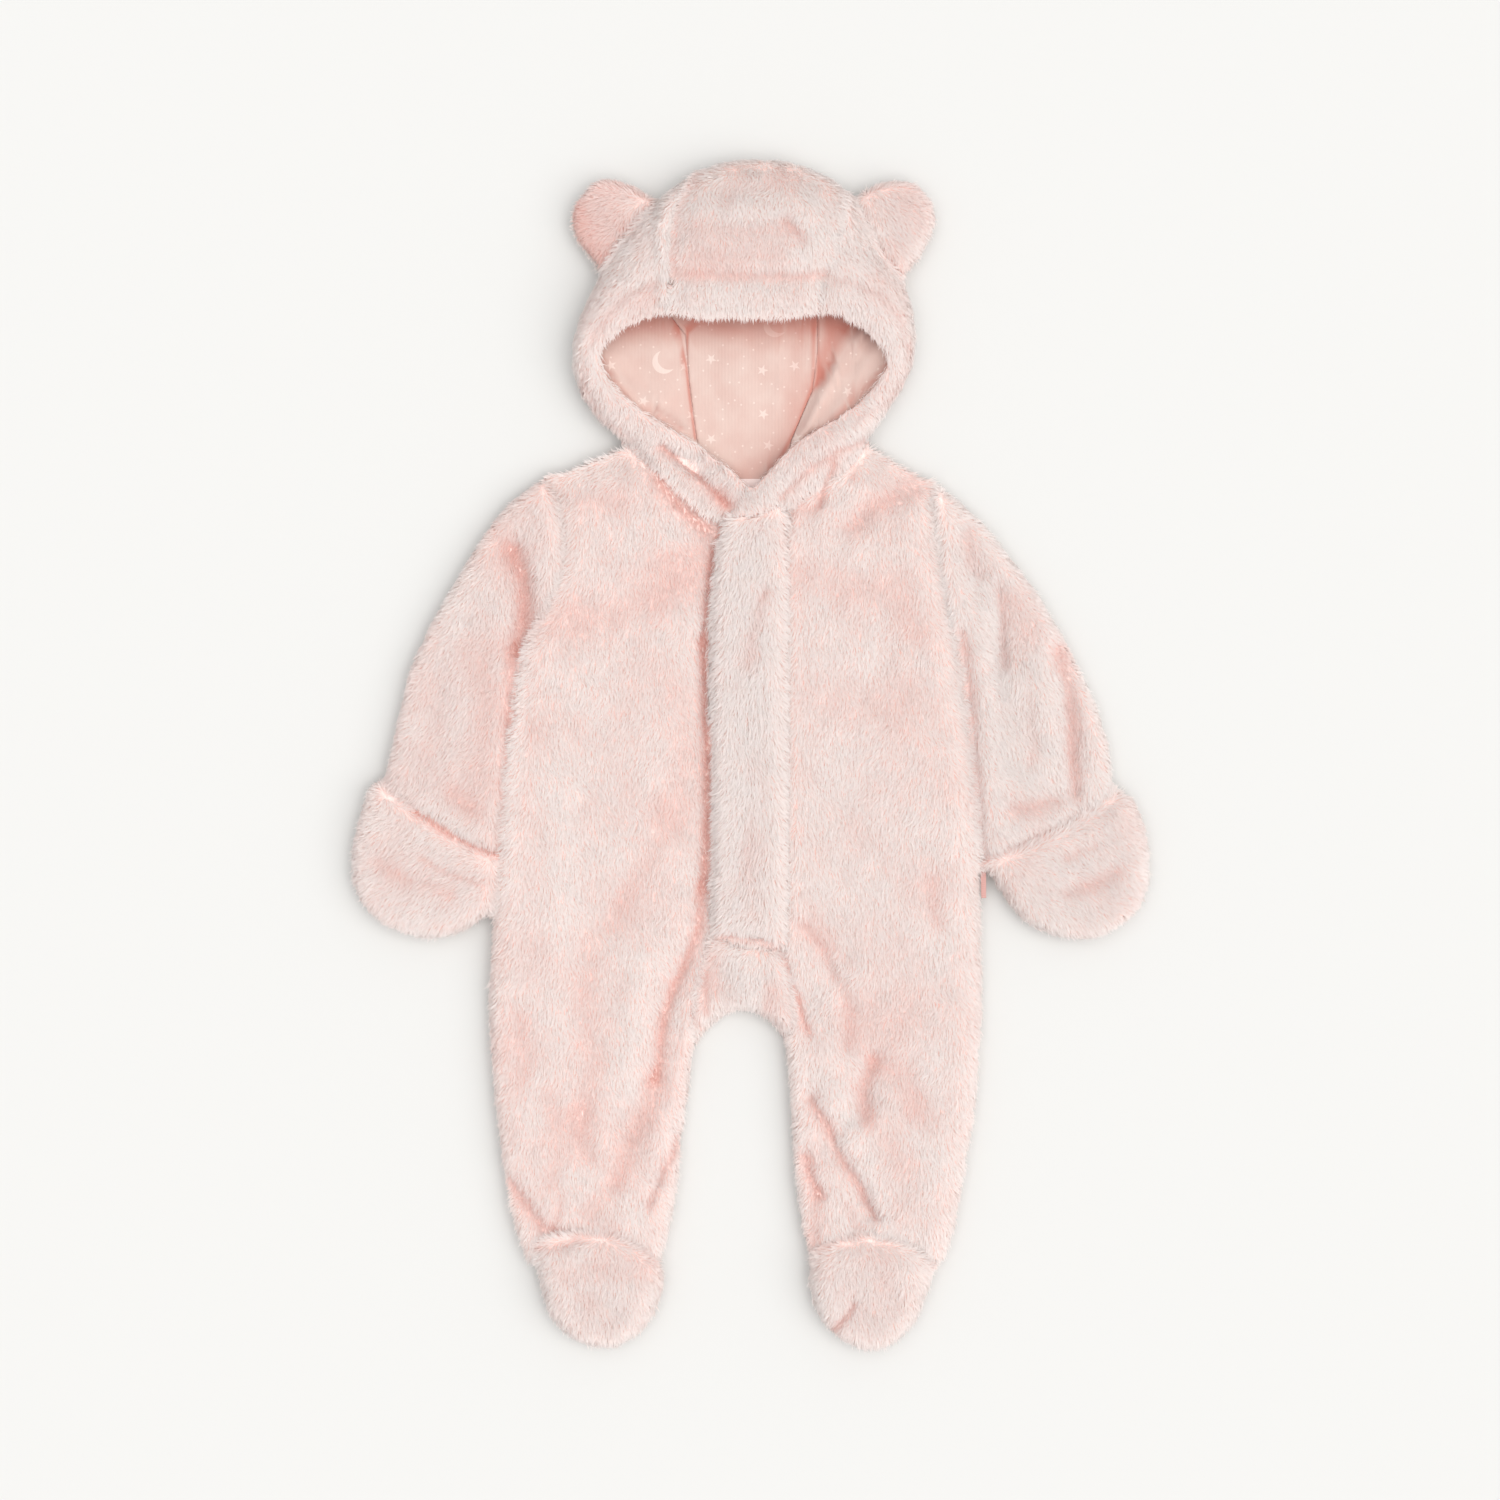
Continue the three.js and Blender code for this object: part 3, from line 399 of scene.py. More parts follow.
def unit(vectors):
    return vectors / (np.linalg.norm(vectors, axis=1, keepdims=True) + 1e-12)


def wavy(x, y, size, seed):
    """A smooth value of about -1 to 1 that changes over the given size in mm."""
    total = np.zeros_like(x)
    draw = np.random.default_rng(seed)
    for _ in range(5):
        angle, phase = draw.uniform(0, math.tau, 2)
        pitch = size * draw.uniform(0.7, 1.5) / math.tau
        total += np.sin((x * math.cos(angle) + y * math.sin(angle)) / pitch + phase)
    return total / 3.2


def applied(obj):
    bpy.context.view_layer.update()
    graph = bpy.context.evaluated_depsgraph_get()
    mesh = bpy.data.meshes.new_from_object(obj.evaluated_get(graph))
    obj.modifiers.clear()
    old = obj.data
    obj.data = mesh
    bpy.data.meshes.remove(old)
    return mesh


def remeshedCopy(nodeName, pieceName, voxelMm, rounds):
    mesh = cadNodes[nodeName].data.copy()
    work = bmesh.new()
    work.from_mesh(mesh)
    bmesh.ops.remove_doubles(work, verts=work.verts, dist=0.01 * mm)
    work.to_mesh(mesh)
    work.free()
    mesh.materials.clear()
    obj = bpy.data.objects.new(pieceName, mesh)
    scene.collection.objects.link(obj)
    remesh = obj.modifiers.new("remesh", "REMESH")
    remesh.mode = "VOXEL"
    remesh.voxel_size = voxelMm * mm
    remesh.use_smooth_shade = True
    soften = obj.modifiers.new("soften", "SMOOTH")
    soften.factor = 0.5
    soften.iterations = rounds
    applied(obj)
    return obj


def edgePairs(mesh):
    pairs = np.zeros(len(mesh.edges) * 2, dtype=np.int64)
    mesh.edges.foreach_get("vertices", pairs)
    return pairs.reshape(-1, 2)


def setPoints(mesh, points):
    mesh.vertices.foreach_set("co", points.ravel())
    mesh.update()


def meetSeams(others, points, normals, settings):
    """Moves a panel's sides out to the middle of the seam gap, so that neighbours lie edge to edge."""
    points = points.copy()
    for index in np.nonzero(np.hypot(normals[:, 0], normals[:, 1]) > 0.3)[0]:
        outward = Vector((normals[index, 0], normals[index, 1], 0)).normalized()
        distance = others.ray_cast(Vector(points[index]), outward, settings["seamReachMm"] * mm)[3]
        if distance:
            points[index] += np.array(outward) * max(distance - settings["seamHalfMm"] * mm, 0)
    return points


def plushCloth(nodeName, settings):
    """The ground of one panel: its solid's form, let down by the pile's height where it is open."""
    obj = remeshedCopy(nodeName, nodeName + "_cloth", settings["voxelMm"], settings["smoothing"])
    mesh = obj.data
    points, normals, _ = meshArrays(mesh)
    others = neighboursOf(nodeName)
    reach = settings["reachMm"] * mm
    points = meetSeams(others, points, normals, settings)
    sideways = clearWays(others, points, normals, reach)
    if nodeName.startswith("hood"):
        sideways[facesLining(points, normals)] = 0.0
    above = others
    if nodeName.startswith("hood"):
        above = treeOf([name for name in nodeArrays if name != nodeName and not name.startswith("lining")])
    upwards = clearWays(above, points, np.tile([0.0, 0.0, 1.0], (len(points), 1)), reach)
    upwards *= normals[:, 2] > 0.15
    if nodeName.startswith("hood"):
        low = np.nonzero((points[:, 2] < 13 * mm) & (normals[:, 2] > 0.15))[0]
        upwards[[index for index in low if liningTree.find_nearest(Vector(points[index]), 2 * mm)[0]]] = 0.0
    edges = edgePairs(mesh)
    walled = (1 - sideways) * (np.hypot(normals[:, 0], normals[:, 1]) > 0.35)
    beside = spread(walled, edges, 2) * np.clip(normals[:, 2] * 3, 0, 1)
    sideways = spread(sideways, edges, 2)
    openness = np.maximum(sideways, spread(upwards, edges, 1))
    comb = np.stack([spread(normals[:, axis], edges, settings["combRounds"]) for axis in (0, 1)], axis=1)
    inset = settings["insetMm"] * mm
    shift = -normals * (inset * np.stack([sideways, sideways, openness], axis=1))
    shift[:, 2] = np.minimum(shift[:, 2], 0.0)
    points = points + shift
    x, y = points[:, 0] / mm, points[:, 1] / mm
    depth = creased(settings["creases"], x, y, 0) * mm * np.clip(normals[:, 2] * 1.6 - 0.3, 0, 1) * openness
    room = np.maximum(points[:, 2] - settings["bottomMm"] * mm, 0)
    points[:, 2] -= np.minimum(depth, room * 0.8)
    points[:, 2] = np.maximum(points[:, 2], 0.0)
    setPoints(mesh, points)
    mesh.materials.append(groundMaterial)
    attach(obj, "root")
    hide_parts(nodeName)
    return obj, openness, beside, comb


def growPile(cloth, openness, beside, outward, settings, seed):
    """Fibres on a panel: slim bent leaves of two faces, gathered in tufts and lying with the nap."""
    draw = np.random.default_rng(seed)
    points, normals, triangles = meshArrays(cloth.data)
    corners = points[triangles]
    area = np.linalg.norm(np.cross(corners[:, 1] - corners[:, 0], corners[:, 2] - corners[:, 0]), axis=1) / 2
    facing = normals[triangles].mean(axis=1)[:, 2]
    height = corners[:, :, 2].mean(axis=1) / mm
    rests = ((facing < -0.5) & (height < 3)) | ((facing > 0.9) & (height < settings["bareBelowMm"]))
    weight = area * np.clip(openness[triangles].mean(axis=1) * 1.5 - 0.25, 0, 1) * np.where(rests, 0.0, 1.0)
    count = int(weight.sum() * settings["perMm2"] * 1e6)
    ladder = np.cumsum(weight)
    chosen = np.searchsorted(ladder, (np.arange(count) + draw.random(count)) / count * ladder[-1])
    chosen = np.minimum(chosen, len(triangles) - 1)
    a, b = draw.random(count), draw.random(count)
    flip = a + b > 1
    a[flip], b[flip] = 1 - a[flip], 1 - b[flip]
    shares = np.stack([1 - a - b, a, b], axis=1)[:, :, None]
    root = (corners[chosen] * shares).sum(axis=1)
    up = (normals[triangles[chosen]] * shares).sum(axis=1)
    comb = (outward[triangles[chosen]] * shares).sum(axis=1) * settings["edgeComb"]
    seam = (beside[triangles[chosen]] * shares[:, :, 0]).sum(axis=1)
    up[:, 2] += seam * settings["seamLift"]
    up = unit(up)
    x, y = root[:, 0] / mm, root[:, 1] / mm
    # Painted shade along the creases and seams, and painted highlight along the ridges where the value is negative
    paintedShadeAndHighlight = creased(settings["creases"], x, y, 1)
    parted = np.clip(paintedShadeAndHighlight, 0, 1)

    angle = settings["napAngle"] + settings["napWander"] * wavy(x, y, 90, 11) \
        + settings["napCurl"] * wavy(x, y, 24, 12)
    nap = np.stack([np.cos(angle), np.sin(angle), np.zeros(count)], axis=1)
    nap[:, :2] += comb * (1 + settings["seamComb"] * seam[:, None])
    nap = unit(nap - up * (nap * up).sum(axis=1, keepdims=True))
    side = np.cross(up, nap)
    stray = draw.normal(0, settings["strayAngle"], count)[:, None]
    nap, side = nap * np.cos(stray) + side * np.sin(stray), side * np.cos(stray) - nap * np.sin(stray)

    length = settings["lengthMm"] * mm * (1 + settings["lengthWander"] * wavy(x, y, 13, 21)
                                          + draw.normal(0, 0.14, count)) * (1 - 0.45 * parted)
    length = np.maximum(length, 1.5 * mm)[:, None]
    leanRoot = np.clip(settings["leanRoot"] + draw.normal(0, 0.16, count), 0.05, 1.4)[:, None]
    leanTip = settings["leanTip"] + draw.normal(0, 0.14, count) + 0.12 * wavy(x, y, 17, 31)
    leanTip = np.clip(leanTip, 0.3, 1.65)[:, None]
    middle = root + (up * np.cos(leanRoot) + nap * np.sin(leanRoot)) * length * 0.45
    tip = middle + (up * np.cos(leanTip) + nap * np.sin(leanTip)) * length * 0.6

    cell = settings["tuftMm"]
    tuft = np.stack([np.floor(x / cell + 0.4 * wavy(x, y, cell * 3, 41)),
                     np.floor(y / cell + 0.4 * wavy(x, y, cell * 3, 42))], axis=1).astype(np.int64)
    _, member = np.unique(tuft, axis=0, return_inverse=True)
    member = member.ravel()
    heads = np.stack([np.bincount(member, tip[:, axis]) for axis in range(3)], axis=1)
    heads /= np.bincount(member)[:, None]
    pulled = heads[member] - tip
    pulled -= up * (pulled * up).sum(axis=1, keepdims=True)
    gather = settings["gather"] * draw.uniform(0.3, 1.0, count)[:, None]
    tip = tip + pulled * gather
    middle = middle + pulled * gather * 0.35

    wide = settings["widthMm"] * mm * draw.uniform(0.7, 1.3, count)[:, None]
    twist = draw.normal(0, 0.3, count)[:, None]
    across = side * np.cos(twist) + up * np.sin(twist)
    leaves = np.stack([root, middle - across * wide / 2, middle + across * wide / 2, tip], axis=1)
    leaves[:, :, 2] = np.maximum(leaves[:, :, 2], 0.15 * mm)
    index = (np.arange(count)[:, None, None] * 4 + np.array([[0, 2, 1], [1, 2, 3]])[None]).reshape(-1)
    mesh = bpy.data.meshes.new(cloth.name.replace("_cloth", "_pile"))
    mesh.vertices.add(count * 4)
    mesh.vertices.foreach_set("co", leaves.ravel())
    mesh.loops.add(count * 6)
    mesh.loops.foreach_set("vertex_index", index)
    mesh.polygons.add(count * 2)
    mesh.polygons.foreach_set("loop_start", np.arange(count * 2) * 3)
    mesh.polygons.foreach_set("use_smooth", np.ones(count * 2, dtype=bool))
    mesh.update(calc_edges=True)

    # A fibre's tone varies at random, drops with the creases' painted shade and rises with their painted highlight
    tone = settings["tone"] + 0.06 * wavy(x, y, 60, 51) + 0.035 * wavy(x, y, 20, 52) \
        + draw.normal(0, 0.045, count) - settings["paintedShadeStrength"] * paintedShadeAndHighlight
    tone = np.clip(tone, 0.02, 0.98)
    uv = np.zeros((count, 4, 2))
    uv[:, :, 0] = tone[:, None] + np.array([0.0, -0.004, 0.004, 0.0])
    uv[:, :, 1] = np.array([0.02, 0.5, 0.5, 0.98])
    layer = mesh.uv_layers.new(name="OFBake")
    layer.data.foreach_set("uv", uv.reshape(-1, 2)[index].ravel())
    mesh.materials.append(pileMaterial)
    pile = bpy.data.objects.new(mesh.name, mesh)
    scene.collection.objects.link(pile)
    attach(pile, "root")
    return pile


# Angles are in radians: a nap of -1.57 lies straight down the garment
plainPile = {"perMm2": 1.55, "lengthMm": 5.9, "lengthWander": 0.12, "widthMm": 0.7, "napAngle": -1.57,
             "napWander": 0.25, "napCurl": 0.3, "strayAngle": 0.26, "edgeComb": 1.5, "leanRoot": 1.0,
             "leanTip": 1.45, "seamLift": 1.3, "seamComb": 1.0, "bareBelowMm": 0.0, "tuftMm": 4.2,
             "gather": 0.3, "tone": 0.93, "paintedShadeStrength": 0.54}
plainCloth = {"voxelMm": 3.4, "smoothing": 3, "insetMm": 2.9, "reachMm": 6.0, "bottomMm": 1.0,
              "seamReachMm": 4.5, "seamHalfMm": 0.17, "combRounds": 3}

print("stage: panels")
# Each crease: its depth in mm (a ridge is negative), its half width in mm, the painted shade it puts on the pile or
# lining (painted highlight on the pile where negative), and the places it runs through
creases = {
    "front_right": [
        (2.6, 4.0, 1.5, [(727, 505), (713, 560), (708, 600), (704, 640)]),
        (3.2, 4.5, 1.5, [(704, 640), (705, 700), (708, 760), (707, 830), (703, 885)]),
        (3.6, 4.5, 1.1, [(703, 885), (698, 925), (688, 955), (676, 978), (664, 1010), (660, 1050), (654, 1078)]),
        (1.5, 13.0, 0.4, [(590, 618), (640, 602), (690, 572), (710, 556)]),
        (0.8, 8.0, 0.3, [(650, 560), (700, 545)]),
        (0.5, 9.0, 0.25, [(680, 690), (685, 760), (680, 820)]),
        (1.0, 9.0, 0.3, [(665, 800), (655, 850), (630, 885), (610, 920)]),
        (1.2, 10.0, 0.3, [(592, 935), (580, 1000), (595, 1060), (580, 1110)]),
        (1.6, 9.0, 0.5, [(580, 1110), (585, 1150)]),
        (2.5, 8.0, 0.55, [(654, 1078), (650, 1100), (640, 1122), (625, 1145), (620, 1180)]),
        (0.8, 8.0, 0.25, [(612, 1180), (590, 1202)]),
        (3.0, 3.2, 0.7, [(683, 1125), (670, 1155), (655, 1185), (650, 1202)]),
        (3.5, 4.5, 0.8, [(513, 1182), (530, 1205), (545, 1226), (575, 1231)]),
        (1.0, 2.8, 0.35, [(562, 1195), (556, 1225)]),
        (1.0, 8.0, 0.3, [(520, 1010), (525, 1060), (515, 1090)]),
        (1.0, 7.0, 0.3, [(550, 1090), (560, 1150), (550, 1180)]),
        (-0.8, 3.5, -0.3, [(526, 650), (521, 720), (515, 800), (509, 880)]),
        (-1.0, 10.0, -0.3, [(562, 780), (566, 850), (560, 910)]),
        (-1.2, 8.0, -0.3, [(640, 960), (630, 1040), (626, 1080)]),
        (-1.0, 7.0, -0.3, [(625, 1185), (635, 1218)]),
        (4.2, 5.0, 1.2, [(653, 462), (662, 482), (678, 503), (705, 527)]),
        (1.0, 8.0, 0.3, [(588, 500), (622, 498)]),
        (0.8, 9.0, 0.25, [(556, 622), (578, 600)]),
    ],
    "front_left": [
        (1.0, 2.5, 0.25, [(778, 560), (778, 650), (781, 720), (787, 790), (786, 860), (782, 930)]),
        (1.5, 12.0, 0.35, [(788, 580), (820, 570), (860, 585), (900, 575)]),
        (2.0, 8.0, 0.55, [(908, 486), (872, 505), (850, 525)]),
        (1.0, 9.0, 0.3, [(903, 600), (916, 632)]),
        (0.8, 20.0, 0.2, [(840, 700), (900, 690), (930, 735)]),
        (1.2, 7.0, 0.45, [(930, 878), (936, 915)]),
        (2.5, 5.0, 0.6, [(804, 922), (825, 945), (833, 972)]),
        (2.0, 5.5, 0.45, [(843, 982), (850, 1010), (846, 1040)]),
        (0.8, 2.5, 0.2, [(800, 890), (825, 925), (850, 962)]),
        (3.0, 6.0, 0.7, [(872, 1058), (862, 1088), (867, 1115)]),
        (1.2, 9.0, 0.35, [(880, 1062), (905, 1070), (916, 1108)]),
        (1.2, 9.0, 0.35, [(885, 1138), (902, 1162)]),
        (1.0, 18.0, 0.25, [(870, 1005), (892, 1040), (912, 1000)]),
        (4.0, 4.0, 0.9, [(811, 1095), (828, 1125), (842, 1155), (855, 1176), (866, 1196), (876, 1214)]),
        (3.5, 4.0, 1.0, [(806, 1153), (812, 1175), (821, 1192)]),
        (2.0, 5.0, 0.5, [(816, 1192), (815, 1242)]),
        (1.0, 3.5, 0.3, [(846, 1200), (856, 1222)]),
        (4.0, 3.2, 1.1, [(830, 468), (825, 485), (820, 504)]),
        (1.5, 2.6, 0.5, [(856, 456), (853, 476)]),
        (1.8, 4.0, 0.5, [(785, 516), (800, 506), (813, 508)]),
        (2.5, 2.6, 1.1, [(777, 942), (785, 962), (793, 984), (803, 1014), (809, 1030)]),
        (-1.0, 6.0, -0.3, [(832, 1085), (856, 1140), (880, 1190), (882, 1230)]),
    ],
    "placket": [
        (0.5, 4.0, 0.3, [(764, 590), (756, 620), (748, 662)]),
        (0.8, 2.5, 0.35, [(766, 584), (760, 596)]),
        (-0.8, 4.0, -0.45, [(768, 640), (774, 740), (780, 800), (779, 865)]),
        (-0.5, 6.0, -0.25, [(730, 700), (735, 780), (730, 860)]),
        (0.3, 6.0, 0.2, [(752, 800), (748, 860), (752, 905)]),
        (2.0, 2.6, 0.9, [(696, 938), (716, 935), (736, 933), (760, 936), (778, 945)]),
    ],
    "crotch_gusset": [
        (1.2, 2.4, 0.6, [(700, 936), (728, 932), (760, 935), (780, 946)]),
        (2.0, 2.2, 1.0, [(777, 942), (785, 962), (793, 984), (803, 1014)]),
        (1.5, 2.8, 0.5, [(693, 951), (690, 985), (697, 1022)]),
        (1.5, 2.6, 0.7, [(707, 970), (706, 1008)]),
        (0.8, 4.5, 0.35, [(712, 955), (716, 985)]),
        (0.8, 5.0, 0.35, [(771, 985), (768, 1002)]),
        (-0.8, 8.0, -0.3, [(740, 950), (754, 992)]),
    ],
    "sleeve_right": [
        (0.6, 2.6, 0.3, [(508, 650), (505, 720), (501, 800), (498, 850)]),
        (5.0, 7.0, 1.1, [(515, 548), (523, 575), (526, 600), (522, 628), (516, 645)]),
        (3.0, 4.0, 0.9, [(516, 645), (512, 700), (508, 760), (505, 820), (502, 856)]),
        (1.5, 12.0, 0.35, [(482, 650), (490, 700), (480, 760), (470, 800)]),
        (1.0, 8.0, 0.3, [(500, 525), (506, 560)]),
        (1.0, 7.0, 0.35, [(454, 790), (472, 806)]),
        (2.5, 2.8, 1.4, [(414, 810), (449, 832), (475, 845), (495, 853)]),
        (0.5, 12.0, 0.15, [(430, 680), (438, 740)]),
    ],
    "sleeve_left": [
        (1.8, 5.0, 0.4, [(965, 530), (968, 558), (977, 572)]),
        (2.2, 5.0, 0.5, [(998, 588), (1003, 630), (1003, 662)]),
        (1.0, 9.0, 0.3, [(1012, 600), (1026, 632)]),
        (3.0, 4.0, 0.7, [(962, 630), (970, 690), (974, 740), (978, 800), (982, 850)]),
        (3.5, 6.0, 0.8, [(1056, 650), (1068, 690), (1072, 730), (1075, 790)]),
        (0.8, 4.0, 0.25, [(1030, 690), (1033, 730), (1030, 762)]),
        (1.8, 6.0, 0.6, [(1012, 806), (1036, 803), (1052, 798)]),
        (2.0, 2.6, 0.9, [(985, 858), (1010, 848), (1035, 834), (1060, 821), (1086, 806)]),
        (-1.0, 6.0, -0.25, [(985, 600), (988, 700), (990, 780)]),
        (-1.2, 7.0, -0.25, [(1045, 680), (1050, 760)]),
    ],
    "mitt_flap_right": [
        (0.8, 2.2, 0.3, [(386, 786), (400, 798), (417, 812)]),
        (2.5, 2.4, 1.6, [(414, 812), (449, 835), (475, 848), (495, 856)]),
        (1.0, 2.4, 0.4, [(425, 855), (445, 868), (484, 881)]),
        (0.8, 5.0, 0.35, [(384, 860), (411, 878)]),
        (0.8, 4.5, 0.35, [(430, 882), (456, 893)]),
    ],
    "mitt_flap_left": [
        (2.0, 2.2, 0.7, [(985, 860), (1010, 850), (1035, 836), (1060, 823), (1086, 808), (1100, 797)]),
        (1.2, 3.0, 0.8, [(1024, 838), (1038, 833)]),
        (0.8, 3.0, 0.35, [(1062, 856), (1090, 843)]),
        (1.2, 5.0, 0.5, [(1062, 891), (1090, 883), (1113, 868)]),
    ],
    "foot_vamp_right": [
        (1.0, 2.5, 0.4, [(540, 1246), (560, 1244), (585, 1237), (615, 1233), (640, 1241), (657, 1263)]),
        (0.8, 9.0, 0.3, [(565, 1266), (600, 1262), (642, 1267)]),
        (0.5, 5.0, 0.2, [(580, 1290), (592, 1296)]),
    ],
    "foot_vamp_left": [
        (1.0, 2.2, 0.4, [(822, 1249), (845, 1239), (870, 1234), (900, 1233), (920, 1246), (932, 1266)]),
        (2.5, 2.8, 0.9, [(854, 1298), (846, 1311), (836, 1326)]),
        (0.5, 8.0, 0.2, [(885, 1245), (891, 1302)]),
    ],
    "hood_centre": [
        (0.8, 3.0, 0.4, [(700, 180), (685, 208), (677, 238), (676, 268)]),
        (0.8, 9.0, 0.3, [(725, 200), (760, 195), (790, 180)]),
        (0.8, 9.0, 0.4, [(700, 230), (740, 236), (785, 230)]),
        (1.5, 4.0, 0.5, [(788, 226), (801, 242)]),
        (0.8, 9.0, 0.4, [(696, 262), (740, 262), (772, 257)]),
        (1.8, 4.2, 0.65, [(672, 276), (700, 278), (740, 279), (790, 279), (828, 276)]),
        (-0.6, 6.0, -0.4, [(745, 210), (775, 205)]),
        (-0.5, 6.0, -0.4, [(800, 205), (820, 240)]),
        (-0.6, 6.0, 0.15, [(690, 300), (740, 303), (800, 300)]),
    ],
    "hood_side_right": [
        (-2.8, 3.6, -0.9, [(690, 172), (672, 200), (664, 232), (666, 262), (667, 300)]),
        (1.2, 3.0, 0.3, [(660, 282), (632, 296), (604, 325), (588, 352), (586, 385), (602, 414), (632, 436)]),
        (0.8, 8.0, 0.3, [(640, 306), (656, 298)]),
        (2.4, 3.4, 1.3, [(664, 446), (682, 460), (699, 475), (712, 489), (726, 503)]),
        (0.8, 5.0, 0.8, [(722, 492), (730, 504), (735, 512)]),
        (-1.2, 3.5, -0.4, [(662, 466), (676, 484), (692, 500), (712, 515)]),
    ],
    "hood_side_left": [
        (1.4, 3.0, 0.3, [(820, 279), (850, 284), (878, 298), (895, 318), (906, 346)]),
        (1.0, 3.0, 0.25, [(906, 346), (904, 376), (885, 400), (850, 422)]),
        (1.8, 2.8, 0.6, [(862, 438), (834, 450), (806, 470), (780, 494)]),
        (2.0, 3.0, 1.0, [(833, 460), (827, 480), (821, 504)]),
    ],
    "ear_front_right": [
        (2.0, 3.0, 1.1, [(612, 262), (632, 246), (657, 222)]),
        (-0.8, 8.0, -0.3, [(628, 205), (648, 205)]),
        (0.8, 9.0, 0.6, [(580, 212), (588, 244), (602, 260)]),
    ],
    "ear_front_left": [
        (2.0, 3.0, 1.1, [(836, 208), (846, 236), (864, 251), (882, 261), (897, 272)]),
        (-0.8, 6.0, -0.3, [(862, 228), (876, 232)]),
    ],
}

# Painted shade and painted light in the panels' tone: lower on front_right, sleeve_right and mitt_flap_right, on the
# side away from the key light, and higher on the crown, placket and sleeve_left
panels = {
    "back": {"flat": (0.36, 0.56), "area": 0.141, "rests": ["floor"], "grow": {"perMm2": 1.2}},
    "front_right": {"flat": (0.20, 0.56), "area": 0.076, "rests": ["back_cloth"], "bottomMm": 10.3,
                    "grow": {"perMm2": 1.15, "seamComb": 1.6, "tone": 0.91}},
    "front_left": {"flat": (0.17, 0.56), "area": 0.060, "rests": ["back_cloth"], "bottomMm": 10.3,
                   "grow": {"perMm2": 1.25}},
    "placket": {"flat": (0.054, 0.28), "area": 0.0139, "rests": ["front_right_cloth"], "bottomMm": 17,
                "grow": {"napAngle": -1.75, "lengthMm": 7.0, "seamComb": 1.8, "tone": 0.98}},
    "crotch_gusset": {"flat": (0.072, 0.075), "area": 0.0035, "rests": ["back_cloth"], "bottomMm": 10.3},
    "sleeve_right": {"flat": (0.12, 0.20), "area": 0.0174, "rests": ["floor"], "grow": {"napAngle": -1.95, "seamComb": 0.0, "tone": 0.88}},
    "sleeve_left": {"flat": (0.12, 0.20), "area": 0.0181, "rests": ["floor"], "grow": {"napAngle": -1.2, "tone": 0.98}},
    "mitt_palm_right": {"flat": (0.10, 0.09), "area": 0.0069, "rests": ["floor"], "grow": {"napAngle": -2.4}},
    "mitt_flap_right": {"flat": (0.10, 0.09), "area": 0.0072, "rests": ["mitt_palm_right_cloth"],
                        "bottomMm": 11, "grow": {"napAngle": -2.4, "tone": 0.88}},
    "mitt_palm_left": {"flat": (0.10, 0.09), "area": 0.0069, "rests": ["floor"], "grow": {"napAngle": -0.75}},
    "mitt_flap_left": {"flat": (0.10, 0.09), "area": 0.0072, "rests": ["mitt_palm_left_cloth"],
                       "bottomMm": 11, "grow": {"napAngle": -0.75}},
    "foot_sole_right": {"flat": (0.085, 0.075), "area": 0.0050, "rests": ["floor"]},
    "foot_vamp_right": {"flat": (0.085, 0.075), "area": 0.0054, "rests": ["foot_sole_right_cloth"],
                        "bottomMm": 11},
    "foot_sole_left": {"flat": (0.085, 0.075), "area": 0.0050, "rests": ["floor"]},
    "foot_vamp_left": {"flat": (0.085, 0.075), "area": 0.0054, "rests": ["foot_sole_left_cloth"],
                       "bottomMm": 11},
    "hood_centre": {"flat": (0.12, 0.34), "area": 0.031, "rests": ["floor"], "bottomMm": 4,
                    "grow": {"bareBelowMm": 12, "tone": 0.99, "edgeComb": 1.1}},
    "hood_side_right": {"flat": (0.14, 0.20), "area": 0.0186, "rests": ["floor"], "voxelMm": 2.6,
                        "grow": {"napAngle": -1.9, "bareBelowMm": 9, "edgeComb": 0.7}},
    "hood_side_left": {"flat": (0.14, 0.20), "area": 0.0186, "rests": ["floor"],
                       "grow": {"napAngle": -1.25, "bareBelowMm": 9, "edgeComb": 0.3}},
    "ear_front_right": {"flat": (0.058, 0.052), "area": 0.0022, "rests": ["ear_back_right_cloth"],
                        "bottomMm": 11, "grow": {"napAngle": -2.6, "tone": 0.62}},
    "ear_back_right": {"flat": (0.058, 0.052), "area": 0.0024, "rests": ["floor"], "grow": {"napAngle": -2.6}},
    "ear_front_left": {"flat": (0.058, 0.052), "area": 0.0022, "rests": ["ear_back_left_cloth"],
                       "bottomMm": 11, "grow": {"napAngle": -0.9, "tone": 0.84}},
    "ear_back_left": {"flat": (0.058, 0.052), "area": 0.0024, "rests": ["floor"], "grow": {"napAngle": -0.9}},
}

for number, (nodeName, panel) in enumerate(panels.items()):
    own = {"creases": creases.get(nodeName, [])}
    clothSettings = {**plainCloth, **own, **{name: panel[name] for name in plainCloth if name in panel}}
    cloth, openness, beside, outward = plushCloth(nodeName, clothSettings)
    pile = growPile(cloth, openness, beside, outward, {**plainPile, **own, **panel.get("grow", {})}, 100 + number)
    print("  ", nodeName, len(cloth.data.polygons), "faces,", len(pile.data.polygons), "in the pile,",
          round(sum(face.area for face in cloth.data.polygons) / 2, 4), "square metres a layer")

print("stage: lining")
liningSettings = {"voxelMm": 0.8, "keep": 0.16, "smoothing": 6, "longestMm": 4.5, "thinMm": 2.2, "fineMm": 1.6, "pressMm": 0.8, "seamReachMm": 1.6,
                  "seamHalfMm": 0.17}
